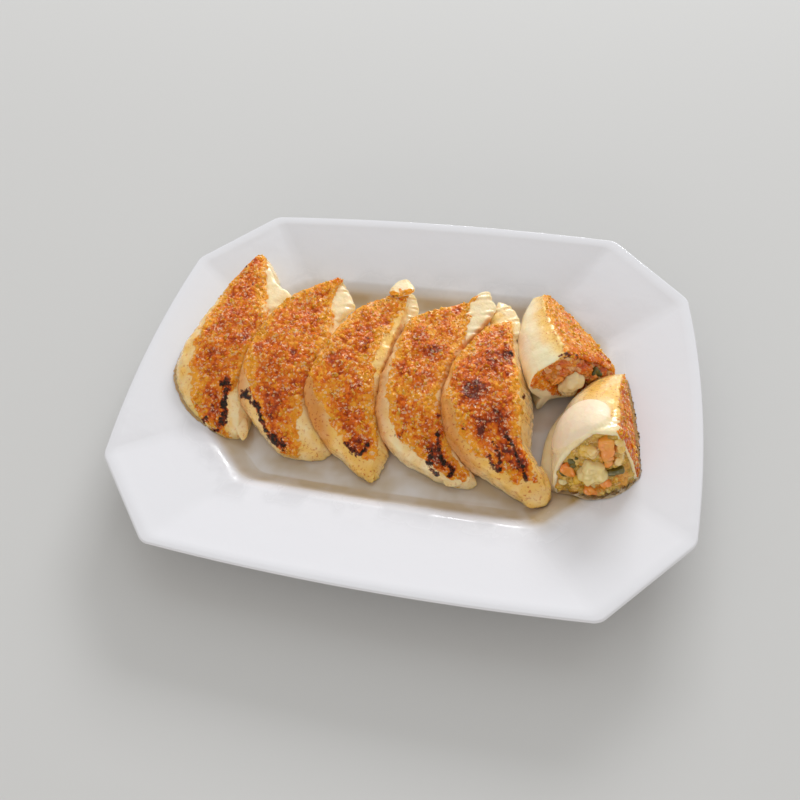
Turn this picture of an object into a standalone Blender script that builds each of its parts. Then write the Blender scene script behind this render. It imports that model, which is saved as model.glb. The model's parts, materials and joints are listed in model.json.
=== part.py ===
"""Six pan-fried gyoza on an octagonal plate: five whole ones in a row and one cut in two.

The frame is in metres with +Z up. The origin is under the middle of the plate, X runs along the
plate's long side and Y from the front of the plate to the back. Every dumpling lies with its flat
browned face up, its front horn (the tail) towards -Y and its back horn (the head) towards +Y.
"""

import math
from typing import NamedTuple

import bmesh
import bpy
from mathutils import Euler, Matrix, Vector

MM = 0.001
GAP = 0.3 * MM

# --- Plate -------------------------------------------------------------------------------------
# Each level of the plate is an octagon with bowed long and short sides and rounded corners.


class Level(NamedTuple):
    """One octagon of the plate, in millimetres."""

    half_length: float
    half_width: float
    corner_x: float
    corner_y: float
    height: float


PLATE_HEIGHT = 20.0
FLOOR_HEIGHT = 5.0
WELL_EDGE_HEIGHT = 11.2
FOOT_RECESS = 1.4
LONG_SIDE_BOW = 2.7
SHORT_SIDE_BOW = 3.3
BOW_OF_WELL = 0.25
CORNER_RADIUS = 6.0
WELL_CORNER_RADIUS = 5.0
CORNER_POINTS = 4
SIDE_POINTS = 3
WALL = 2.8
FOOT_WIDTH = 3.0
LIP_WIDTH = 1.6
LIP_DROP = 0.35

RIM = Level(108.0, 82.5, 29.7, 30.6, PLATE_HEIGHT)
WELL_EDGE = Level(77.7, 50.7, 21.7, 20.4, WELL_EDGE_HEIGHT)
FLOOR_EDGE = Level(71.4, 44.6, 20.0, 18.4, FLOOR_HEIGHT)
FOOT = Level(72.5, 45.7, 20.2, 18.8, 0.0)

# --- Dumplings ---------------------------------------------------------------------------------
BODY_DEPTH = 25.0
TIP_THICKNESS = 3.2
CROWN = 0.9
CRUST_RIM = 1.0
HIGHEST_AT = 0.55
CREST_RISE = 0.22
FOOT_SHARE = 0.22
PLEAT_DEPTH = 2.4
PLEATS = 6
STATIONS = 4 * PLEATS
FACE_POINTS = 5
SIDE_STEPS = 5
UNDER_STEPS = 4
SKIN = 1.5


class Whole(NamedTuple):
    """A whole gyoza lying on its folded crest, in millimetres and degrees.

    The browned face is a crescent over the line from tail to head. left and right say how far
    its two edges bow to the left of that line, belly how far the skin swells beyond the left
    edge and crest how far the pleated seam reaches beyond the right edge.
    """

    name: str
    tail: tuple
    head: tuple
    face_height: float
    left: float
    left_peak: float
    left_fullness: tuple
    right: float
    right_peak: float
    belly: float
    crest: float
    tilt: float


WHOLES = (
    Whole("gyoza_1", (-65.5, -31.5, 8.0), (-75.5, 53.0, 25.0), 24.0, 20.5, 0.40, (0.62, 0.85),
          -7.5, 0.50, 9.0, 7.0, 2.0),
    Whole("gyoza_2", (-34.0, -36.5, 8.0), (-35.5, 43.4, 24.0), 25.0, 28.5, 0.40, (0.55, 0.75),
          1.0, 0.75, 4.5, 8.0, 5.0),
    Whole("gyoza_3", (-6.0, -41.0, 6.8), (-2.5, 40.5, 23.0), 25.5, 30.5, 0.40, (0.68, 0.45),
          4.0, 0.50, 4.0, 8.0, 5.0),
    Whole("gyoza_4", (29.5, -38.5, 6.8), (28.0, 39.5, 21.0), 25.5, 35.0, 0.38, (0.60, 0.50),
          12.5, 0.38, 4.0, 8.0, 4.0),
    Whole("gyoza_5", (58.5, -41.5, 6.8), (36.0, 38.0, 17.5), 26.0, 30.0, 0.38, (0.75, 0.85),
          4.0, 0.40, 4.0, 5.0, 1.0),
)


class Half(NamedTuple):
    """Half a gyoza, standing on its crest and leaning on the plate's flange.

    It is modelled with the cut in the local XZ plane, the horn along +Y and the browned face
    on top, and its lower side is the one towards +X. middle is the middle of the browned
    face's cut edge. crest_x and depth place the end of the pleated fin at the cut, from where
    it swings back under the middle within a share of the length. sag says how far the lower
    side of the cut bulges out.
    """

    name: str
    middle: tuple
    turn: tuple
    length: float
    face_width: float
    crest_x: float
    swing: float
    depth: float
    sag: float
    chunk: tuple
    chunk_size: tuple


HALVES = (
    Half("half_back", (70.7, 13.5, 23.8), (-12.0, 39.0, 20.0), 42.0, 27.5, -3.6, 3.0, 29.0,
         4.0, (1.2, 0.8, -10.8), (4.2, 6.0, 6.4)),
    Half("half_front", (84.8, -25.6, 24.6), (-31.0, 61.0, -27.0), 42.0, 26.0, 7.0, 0.6,
         35.0, 7.0, (4.4, -2.0, -13.2), (5.4, 6.5, 5.2)),
)
BELLY_SWELL = 4.5
NECK_HALF_WIDTH = 1.9
FIN_LENGTH = 6.5
FIN_HALF_WIDTH = 1.3
FILLING_BULGE = 1.5
FILLING_REACH = 0.78
MOUTH_REACH = 12.0
HORN_END = 0.985
PRAWN_DENT = 0.18

# --- Colours: base colour, roughness -----------------------------------------------------------
PORCELAIN_WHITE = ((0.80, 0.80, 0.82), 0.12)
BROWNED_SKIN = ((0.62, 0.30, 0.09), 0.35)
STEAMED_SKIN = ((0.80, 0.62, 0.34), 0.35)
FILLING_ORANGE = ((0.68, 0.36, 0.12), 0.40)
PRAWN_WHITE = ((0.84, 0.74, 0.56), 0.30)


def material(name, finish):
    """A plain Principled material from a base colour and a roughness."""
    colour, roughness = finish
    made = bpy.data.materials.new(name)
    made.use_nodes = True
    shader = made.node_tree.nodes["Principled BSDF"]
    shader.inputs["Base Color"].default_value = (*colour, 1.0)
    shader.inputs["Roughness"].default_value = roughness
    shader.inputs["Metallic"].default_value = 0.0
    return made


def mix(start, end, share):
    """The value a share of the way from start to end."""
    return start + (end - start) * share


def bow(share, peak, fullness):
    """0 at both ends of a line and 1 at peak, along a quarter sine on each side of it."""
    before, after = fullness
    if share < peak:
        return math.sin(0.5 * math.pi * share / peak) ** before
    return math.sin(0.5 * math.pi * (1.0 - share) / (1.0 - peak)) ** after


def taper(share, fullness):
    """1 at the start of a line and 0 at its end, along a quarter sine."""
    return max(math.cos(0.5 * math.pi * share), 0.0) ** fullness


def bezier(points, steps):
    """Points along a cubic curve, without its last one."""
    a, b, c, d = (Vector(p) for p in points)
    made = []
    for step in range(steps):
        t = step / steps
        u = 1.0 - t
        made.append(u ** 3 * a + 3 * u * u * t * b + 3 * u * t * t * c + t ** 3 * d)
    return made


def object_from_rings(name, rings, start_cap=None, end_cap=None):
    """Joins closed rings of equal length into one closed solid, in millimetres.

    A cap is a point that the end ring closes to. Without one, the ring is filled flat.
    """
    shape = bmesh.new()
    loops = [[shape.verts.new(Vector(p) * MM) for p in ring] for ring in rings]
    for lower, upper in zip(loops, loops[1:]):
        for i in range(len(lower)):
            j = (i + 1) % len(lower)
            shape.faces.new((lower[i], lower[j], upper[j], upper[i]))
    for loop, cap in ((loops[0], start_cap), (loops[-1], end_cap)):
        if cap is None:
            shape.faces.new(loop)
            continue
        tip = shape.verts.new(Vector(cap) * MM)
        for i in range(len(loop)):
            shape.faces.new((loop[i], loop[(i + 1) % len(loop)], tip))
    bmesh.ops.recalc_face_normals(shape, faces=shape.faces)
    mesh = bpy.data.meshes.new(name)
    shape.to_mesh(mesh)
    shape.free()
    mesh.shade_smooth()
    mesh.set_sharp_from_angle(angle=math.radians(50.0))
    made = bpy.data.objects.new(name, mesh)
    bpy.context.scene.collection.objects.link(made)
    return made


def as_cutter(made):
    """Marks an object as a cutter, which isn't part of the model."""
    made.hide_render = True
    made.display_type = "WIRE"
    return made


def grown(source, distance=1.2 * GAP):
    """A cutter that is a solid's own shape, larger by distance on every side."""
    mesh = source.data.copy()
    shape = bmesh.new()
    shape.from_mesh(mesh)
    shape.normal_update()
    moves = [(vertex, vertex.normal * distance) for vertex in shape.verts]
    for vertex, move in moves:
        vertex.co += move
    shape.to_mesh(mesh)
    shape.free()
    cutter = bpy.data.objects.new(source.name + "_cutter", mesh)
    cutter.matrix_world = source.matrix_world.copy()
    bpy.context.scene.collection.objects.link(cutter)
    return as_cutter(cutter)


def cut(solid, cutter):
    """Takes the cutter's space away from a solid."""
    boolean = solid.modifiers.new("cut_by_" + cutter.name, "BOOLEAN")
    boolean.operation = "DIFFERENCE"
    boolean.solver = "EXACT"
    boolean.object = cutter


# --- Plate -------------------------------------------------------------------------------------


def octagon(level, bow_share=1.0, radius=CORNER_RADIUS):
    """The outline of one level, anticlockwise, with bowed main sides and rounded corners."""
    x, y = level.half_length, level.half_width
    cut_x, cut_y = level.corner_x, level.corner_y
    corners = [
        Vector(p)
        for p in (
            (x, -y + cut_y), (x, y - cut_y), (x - cut_x, y), (-x + cut_x, y),
            (-x, y - cut_y), (-x, -y + cut_y), (-x + cut_x, -y), (x - cut_x, -y),
        )
    ]
    outline = []
    for index, corner in enumerate(corners):
        before = (corners[index - 1] - corner).normalized() * radius
        ahead = corners[(index + 1) % 8] - corner
        after = ahead.normalized() * radius
        arc = [corner + before, corner + before * 0.4, corner + after * 0.4, corner + after]
        outline += bezier(arc, CORNER_POINTS)
        outline.append(corner + after)
        if index % 2:
            continue
        side = SHORT_SIDE_BOW if index % 4 == 0 else LONG_SIDE_BOW
        outward = Vector((ahead.y, -ahead.x)).normalized() * side * bow_share
        for step in range(1, SIDE_POINTS + 1):
            share = step / (SIDE_POINTS + 1)
            along = mix(after, ahead - ahead.normalized() * radius, share)
            outline.append(corner + along + outward * (4.0 * share * (1.0 - share)))
    return [Vector((p.x, p.y, level.height)) for p in outline]


def well_octagon(level):
    """The outline of a level in or under the well, whose sides are nearly straight."""
    return octagon(level, BOW_OF_WELL, WELL_CORNER_RADIUS)


def level_between(outer, inner, share, height=None):
    """An octagon part of the way from one level to another."""
    made = Level(*(mix(a, b, share) for a, b in zip(outer, inner)))
    return made if height is None else made._replace(height=height)


def inset(level, distance, height):
    """A level moved inwards by distance, at a new height."""
    return level._replace(
        half_length=level.half_length - distance,
        half_width=level.half_width - distance,
        height=height,
    )


def plate_inside():
    """The rings of the plate's upper side, from the rim's top to the floor's edge."""
    return [
        octagon(RIM, 1.0),
        octagon(inset(RIM, LIP_WIDTH, PLATE_HEIGHT - LIP_DROP), 1.0),
        octagon(level_between(RIM, WELL_EDGE, 0.5), mix(1.0, BOW_OF_WELL, 0.5)),
        well_octagon(level_between(RIM, WELL_EDGE, 0.95)),
        well_octagon(level_between(WELL_EDGE, FLOOR_EDGE, 0.15, WELL_EDGE_HEIGHT - 0.6)),
        well_octagon(level_between(WELL_EDGE, FLOOR_EDGE, 0.80, FLOOR_HEIGHT + 1.1)),
        well_octagon(inset(FLOOR_EDGE, 0.8, FLOOR_HEIGHT)),
    ]


def make_plate():
    """The plate in one piece, from the hollow of its foot round the rim to its floor."""
    outside = [
        well_octagon(inset(FOOT, FOOT_WIDTH, FOOT_RECESS)),
        well_octagon(inset(FOOT, FOOT_WIDTH, 0.0)),
        well_octagon(FOOT),
        well_octagon(inset(WELL_EDGE, -0.4, WELL_EDGE_HEIGHT - WALL - 0.6)),
        octagon(inset(RIM, 1.2, PLATE_HEIGHT - WALL), 1.0),
        octagon(inset(RIM, -0.7, PLATE_HEIGHT - 1.1), 1.0),
    ]
    return object_from_rings("plate", outside + plate_inside())


def make_plate_cutter():
    """A block that fills the plate and all below it, up to a gap above the plate's upper side."""
    below = -20.0
    lift = Vector((0.0, 0.0, 1.1 * GAP / MM))
    inside = [[p + lift for p in ring] for ring in plate_inside()]
    edge = octagon(inset(RIM, -6.0, PLATE_HEIGHT + 1.0), 1.0)
    foot = [Vector((p.x, p.y, below)) for p in edge]
    return as_cutter(object_from_rings("plate_cutter", [foot, edge] + inside))


# --- Whole dumplings ---------------------------------------------------------------------------


def face_level(shape, share):
    """The height of the browned face, which rises from the tail and falls less to the head."""
    if share < HIGHEST_AT:
        return mix(shape.tail[2], shape.face_height, bow(share, HIGHEST_AT, (0.8, 1.0)))
    return mix(shape.head[2], shape.face_height, bow(share, HIGHEST_AT, (1.0, 1.0)))


def pleat_fold(share):
    """0 in the folds between two pleats and 1 on the back of a pleat."""
    turn = math.acos(1.0 - 2.0 * share) / math.pi
    return abs(math.sin(math.pi * PLEATS * turn))


def whole_section(shape, share):
    """The outline across a gyoza, as distances to the right of its line and heights."""
    swell = bow(share, 0.5, (0.6, 0.6))
    left = -shape.left * bow(share, shape.left_peak, shape.left_fullness) - CRUST_RIM
    right = -shape.right * bow(share, shape.right_peak, (0.9, 0.9)) + CRUST_RIM
    width = right - left
    height = face_level(shape, share)
    lean = 0.5 * width * math.tan(math.radians(shape.tilt))
    bottom = max(height - mix(TIP_THICKNESS, BODY_DEPTH, swell), FLOOR_HEIGHT - 1.5)
    body = height - bottom
    left_edge = (left, height + lean)
    right_edge = (right, height - lean)
    reach = right + shape.crest * swell
    crest = (reach, bottom + CREST_RISE * body)
    foot = (left + FOOT_SHARE * width, bottom)
    pleat = PLEAT_DEPTH * swell * pleat_fold(share)
    waist = (mix(right, reach, 0.5) - pleat, bottom + 0.60 * body)
    belly = shape.belly * swell
    side_right = (right_edge, (right + 0.5 * pleat + 1.0, height - 0.35 * body), waist, crest)
    under = (crest, (reach + 1.2, bottom + 0.05 * body), (reach - 0.2 * width, bottom), foot)
    side_left = (foot, (left - 0.4 * belly, bottom), (left - 1.5 * belly, height - 0.45 * body),
                 left_edge)
    face = []
    for step in range(FACE_POINTS):
        t = step / FACE_POINTS
        crown = CROWN * 4.0 * t * (1.0 - t) * swell
        face.append(Vector((mix(left, right, t), mix(left_edge[1], right_edge[1], t) + crown)))
    return (face + bezier(side_right, SIDE_STEPS) + bezier(under, UNDER_STEPS)
            + bezier(side_left, SIDE_STEPS))


def whole_ring(shape, share):
    """The cross-section of a whole gyoza in space, at a share of the way from tail to head."""
    tail, head = Vector(shape.tail[:2]), Vector(shape.head[:2])
    line = head - tail
    across = Vector((line.y, -line.x)).normalized()
    origin = tail + line * share
    ring = []
    for point in whole_section(shape, share):
        place = origin + across * point.x
        ring.append(Vector((place.x, place.y, point.y)))
    return ring


def make_whole(shape):
    """A whole gyoza, with its sections closer together near the tips."""
    rings = []
    for station in range(STATIONS + 1):
        share = 0.5 - 0.5 * math.cos(math.pi * station / STATIONS)
        rings.append(whole_ring(shape, share))
    return object_from_rings(shape.name, rings)


# --- The cut dumpling --------------------------------------------------------------------------


def half_ring(shape, share, skin=0.0):
    """The cross-section of a half at a share of the way from the cut to the horn.

    skin is how far inside the outer surface it runs. The outer surface ends in the fin, where
    the two sides of the dough are pressed together. What is inside ends at the fin's neck.
    """
    shrink = taper(share, 0.62)
    half_width = max(0.5 * shape.face_width * shrink - skin, 0.6)
    fin = FIN_LENGTH * shrink
    depth = max(shape.depth * taper(share, 0.50), TIP_THICKNESS)
    neck = -(depth - fin) + skin
    swell = (BELLY_SWELL - 0.5 * skin) * shrink
    crest_x = shape.crest_x * max(1.0 - share / shape.swing, 0.0) ** 2
    neck_width = NECK_HALF_WIDTH - 0.6 * skin
    right = bezier(
        ((half_width, -skin), (half_width + 1.6 * swell, 0.40 * neck),
         (crest_x + 1.4 * swell + neck_width, 0.80 * neck), (crest_x + neck_width, neck)), SIDE_STEPS)
    left = bezier(
        ((crest_x - neck_width, neck), (crest_x - 1.4 * swell - neck_width, 0.80 * neck),
         (-half_width - 1.6 * swell, 0.40 * neck), (-half_width, -skin)), SIDE_STEPS)
    end = [Vector((crest_x + neck_width, neck))]
    if skin == 0.0:
        end.append(Vector((crest_x + FIN_HALF_WIDTH, -depth)))
        end.append(Vector((crest_x - FIN_HALF_WIDTH, -depth)))
    face = []
    for step in range(FACE_POINTS):
        t = step / FACE_POINTS
        crown = CROWN * 4.0 * t * (1.0 - t) * shrink
        face.append(Vector((mix(-half_width, half_width, t), crown - skin)))
    return face + right + end + left


def sagged(shape, point, y):
    """A section's point in space, with the lower side and the fin of the cut bulging out."""
    deep = min(max(-point.y / shape.depth, 0.0), 1.0)
    lower = min(max(2.0 * point.x / shape.face_width, 0.0), 1.0)
    near = max(1.0 - 2.5 * y / shape.length, 0.0)
    out = math.sin(math.pi * deep) * lower + 0.3 * deep * deep
    return Vector((point.x, y - shape.sag * out * near, point.y))


def half_rings(shape, stations, end, skin=0.0):
    """The cross-sections from the cut to a share of the way to the horn."""
    rings = []
    for station in range(stations + 1):
        share = end * math.sin(0.5 * math.pi * station / stations)
        y = share * shape.length
        rings.append([sagged(shape, point, y) for point in half_ring(shape, share, skin)])
    return rings


def domed(rings, bulge):
    """Adds a smaller ring in front of the first one, so that the end bulges out."""
    first = rings[0]
    centre = sum(first, Vector()) / len(first)
    forward = Vector((0.0, -bulge, 0.0))
    front = [mix(point, centre, 0.35) + forward for point in first]
    return [front] + rings


def place_half(made, shape):
    """Stands a piece that is modelled in a half's own frame where the half lies."""
    turn = Euler([math.radians(angle) for angle in shape.turn])
    made.matrix_world = Matrix.LocRotScale(Vector(shape.middle) * MM, turn, None)
    return made


def make_half(shape):
    """The skin, the filling and the piece of prawn that shows in the cut."""
    skin = object_from_rings(shape.name + "_skin", half_rings(shape, 14, HORN_END))
    inside = half_rings(shape, 8, FILLING_REACH, SKIN)
    filling = object_from_rings(shape.name + "_filling", domed(inside, FILLING_BULGE))
    mouth = [point + Vector((0.0, -MOUTH_REACH, 0.0)) for point in inside[0]]
    hollow = as_cutter(object_from_rings(shape.name + "_hollow", [mouth] + inside))
    chunk = make_chunk(shape)
    for made in (skin, filling, hollow, chunk):
        place_half(made, shape)
    cut(skin, grown(hollow))
    chunk_cutter = grown(chunk)
    cut(filling, chunk_cutter)
    cut(skin, chunk_cutter)
    return skin, filling, chunk


def make_chunk(shape):
    """A bean-shaped piece of prawn that stands a little proud of the cut."""
    segments, rows = 12, 7
    size = Vector(shape.chunk_size)
    centre = Vector(shape.chunk)
    rings = []
    for row in range(1, rows):
        polar = math.pi * row / rows
        ring = []
        for segment in range(segments):
            turn = 2.0 * math.pi * segment / segments
            dent = 1.0 - PRAWN_DENT * max(0.0, math.cos(turn)) ** 2
            radius = math.sin(polar) * dent
            ring.append(centre + Vector((
                size.x * radius * math.cos(turn),
                -size.y * math.cos(polar),
                size.z * radius * math.sin(turn))))
        rings.append(ring)
    return object_from_rings(
        shape.name + "_prawn", rings,
        start_cap=centre - Vector((0.0, size.y, 0.0)), end_cap=centre + Vector((0.0, size.y, 0.0)))


def main():
    """Clears the scene, then makes the plate, the five whole gyoza and the two halves."""
    for old in list(bpy.data.objects):
        bpy.data.objects.remove(old, do_unlink=True)
    porcelain = material("plate_glaze", PORCELAIN_WHITE)
    browned = material("browned_skin", BROWNED_SKIN)
    steamed = material("steamed_skin", STEAMED_SKIN)
    stuffing = material("filling", FILLING_ORANGE)
    prawn = material("prawn", PRAWN_WHITE)

    plate = make_plate()
    plate.data.materials.append(porcelain)
    plate_cutter = make_plate_cutter()

    wholes = [make_whole(shape) for shape in WHOLES]
    for under, over in zip(wholes, wholes[1:]):
        cut(under, grown(over))
    for made in wholes:
        made.data.materials.append(browned)
        cut(made, plate_cutter)

    last_cutter = grown(wholes[-1])
    front_parts = make_half(HALVES[1])
    front_cutter = grown(front_parts[0])
    back_parts = make_half(HALVES[0])
    for made in back_parts:
        cut(made, front_cutter)
    for parts in (front_parts, back_parts):
        for made, finish in zip(parts, (steamed, stuffing, prawn)):
            made.data.materials.append(finish)
            cut(made, last_cutter)
            cut(made, plate_cutter)


main()
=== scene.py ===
"""Finishes a plate of pan-fried gyoza: the glazed plate, five whole ones and one cut in two."""

import json
import math
from typing import NamedTuple

import bmesh
import bpy
import numpy as np
from mathutils import Euler, Matrix, Vector, noise

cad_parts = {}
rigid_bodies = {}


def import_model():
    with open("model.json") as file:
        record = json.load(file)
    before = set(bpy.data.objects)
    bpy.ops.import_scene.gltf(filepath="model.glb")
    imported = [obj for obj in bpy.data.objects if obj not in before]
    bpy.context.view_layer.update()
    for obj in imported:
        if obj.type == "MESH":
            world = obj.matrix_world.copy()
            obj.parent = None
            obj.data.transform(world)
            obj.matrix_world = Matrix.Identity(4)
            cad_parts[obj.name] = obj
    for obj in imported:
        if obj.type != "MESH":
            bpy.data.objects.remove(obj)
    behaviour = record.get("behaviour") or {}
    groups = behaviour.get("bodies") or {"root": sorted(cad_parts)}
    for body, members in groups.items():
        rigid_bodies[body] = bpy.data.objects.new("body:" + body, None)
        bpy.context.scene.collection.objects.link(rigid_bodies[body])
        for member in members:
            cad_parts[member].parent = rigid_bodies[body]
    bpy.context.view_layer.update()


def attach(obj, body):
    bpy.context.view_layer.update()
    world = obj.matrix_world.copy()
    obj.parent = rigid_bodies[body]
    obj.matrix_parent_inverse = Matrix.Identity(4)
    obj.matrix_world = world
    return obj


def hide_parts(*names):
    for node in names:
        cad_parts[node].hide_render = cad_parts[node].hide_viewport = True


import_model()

bl_info = {
    "name": "Gyoza on a plate",
    "version": (1, 0, 0),
    "blender": (4, 5, 0),
    "location": "3D View > Sidebar > Gyoza",
    "description": "Makes pan-fried dumplings with browned crusts on an octagonal plate",
    "category": "Add Mesh",
}

MM = 0.001
BODY = "root"

# --- Plate: octagons at each level, in millimetres ----------------------------------------------


class Level(NamedTuple):
    """One octagon of the plate."""

    half_length: float
    half_width: float
    corner_x: float
    corner_y: float
    height: float


RIM = Level(108.0, 82.5, 29.7, 30.6, 20.0)
WELL_EDGE = Level(77.7, 50.7, 21.7, 20.4, 11.2)
FLOOR_EDGE = Level(71.4, 44.6, 20.0, 18.4, 5.0)
FOOT = Level(72.5, 45.7, 20.2, 18.8, 0.0)
WALL = 2.8
FOOT_WIDTH = 3.0
FOOT_RECESS = 1.4
LONG_SIDE_BOW = 2.7
SHORT_SIDE_BOW = 3.3
WELL_BOW = 0.25
RIM_CORNER = 2.6
WELL_CORNER = 4.0
LIP_THICKNESS = 1.7
CORNER_STEPS = 12
SIDE_STEPS = 16
FLANGE_STEPS = 10
BEND_STEPS = 8
FLOOR_STEPS = 30
# The last part of the flange bends down into the well from this share of its way.
BEND_FROM = 0.93
# The middle of a darker patch at the cut dumpling's end of the floor: a little oil, with painted shade and
# painted warm reflection of the food.
SHADED_POOL_MIDDLE = (66.0, -38.5)
# How strongly the warm tint shows, a little oil with painted shade and painted warm reflection of the food:
# on the floor, more of it beside the food, and round the floor's edge.
FLOOR_OIL_AND_SHADE = 0.44
OIL_AND_SHADE_BY_FOOD = 0.32
EDGE_OIL_AND_SHADE = 0.75
POOL_OIL_AND_SHADE = 1.7

# --- Whole dumplings ----------------------------------------------------------------------------
# Their outlines are given at these shares of the way from the tail to the head.
OUTLINE_SHARES = (0.0, 0.05, 0.12, 0.25, 0.40, 0.55, 0.70, 0.85, 0.93, 1.0)
HIGHEST_AT = 0.55
BODY_DEPTH = 25.0
TIP_THICKNESS = 4.0
END_ROUNDING = 2.2
# How finely a dumpling and its leaves are divided.
STATIONS = 250
FACE_STEPS = 96
RIGHT_STEPS = 44
UNDER_STEPS = 14
LEFT_STEPS = 46
LEAF_STEPS = 140
LEAF_LEVELS = 22
# How far the dough stays above the plate's surface, so that the two never cross.
CLEARANCE = 0.3
# The depth and the number of the waves that make a face's edges ragged.
RAGGED = ((0.6, 11.0), (0.5, 32.0), (0.35, 80.0))


class Spot(NamedTuple):
    """A patch on a browned face: its middle, its half lengths along and across, its strength."""

    kind: str
    share: float
    across: float
    along_size: float
    across_size: float
    strength: float = 1.0


class Streak(NamedTuple):
    """A mark along a line of (share, across) on a browned face."""

    kind: str
    path: tuple
    width: float
    strength: float = 1.0


class Leaf(NamedTuple):
    """A thin, rounded end of the pleated seam: its outline beside the line, height and relief.

    Rise is its slope along and across, and ripple the depth of its pleats.
    """

    outline: tuple
    height: float
    rise: tuple
    thickness: float
    pleats: int
    ripple: float


class Whole(NamedTuple):
    """A whole gyoza: how far its face's edges lie to the left and right of the tail-head line.

    bare_left and bare_right say how far inside those edges the browned crust ends, and crust_ends
    the shares of the line where it starts and ends. Belly and reach are the bulges of the left and
    right sides, tilt is the face's lean in degrees, tone is how deeply the crust is browned and
    soak how oily the dough is.
    """

    name: str
    tail: tuple
    head: tuple
    face_height: float
    tilt: float
    belly: float
    reach: float
    left: tuple
    right: tuple
    bare_left: tuple
    bare_right: tuple
    crust_ends: tuple
    tone: float
    soak: float
    leaves: tuple
    spots: tuple


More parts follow.
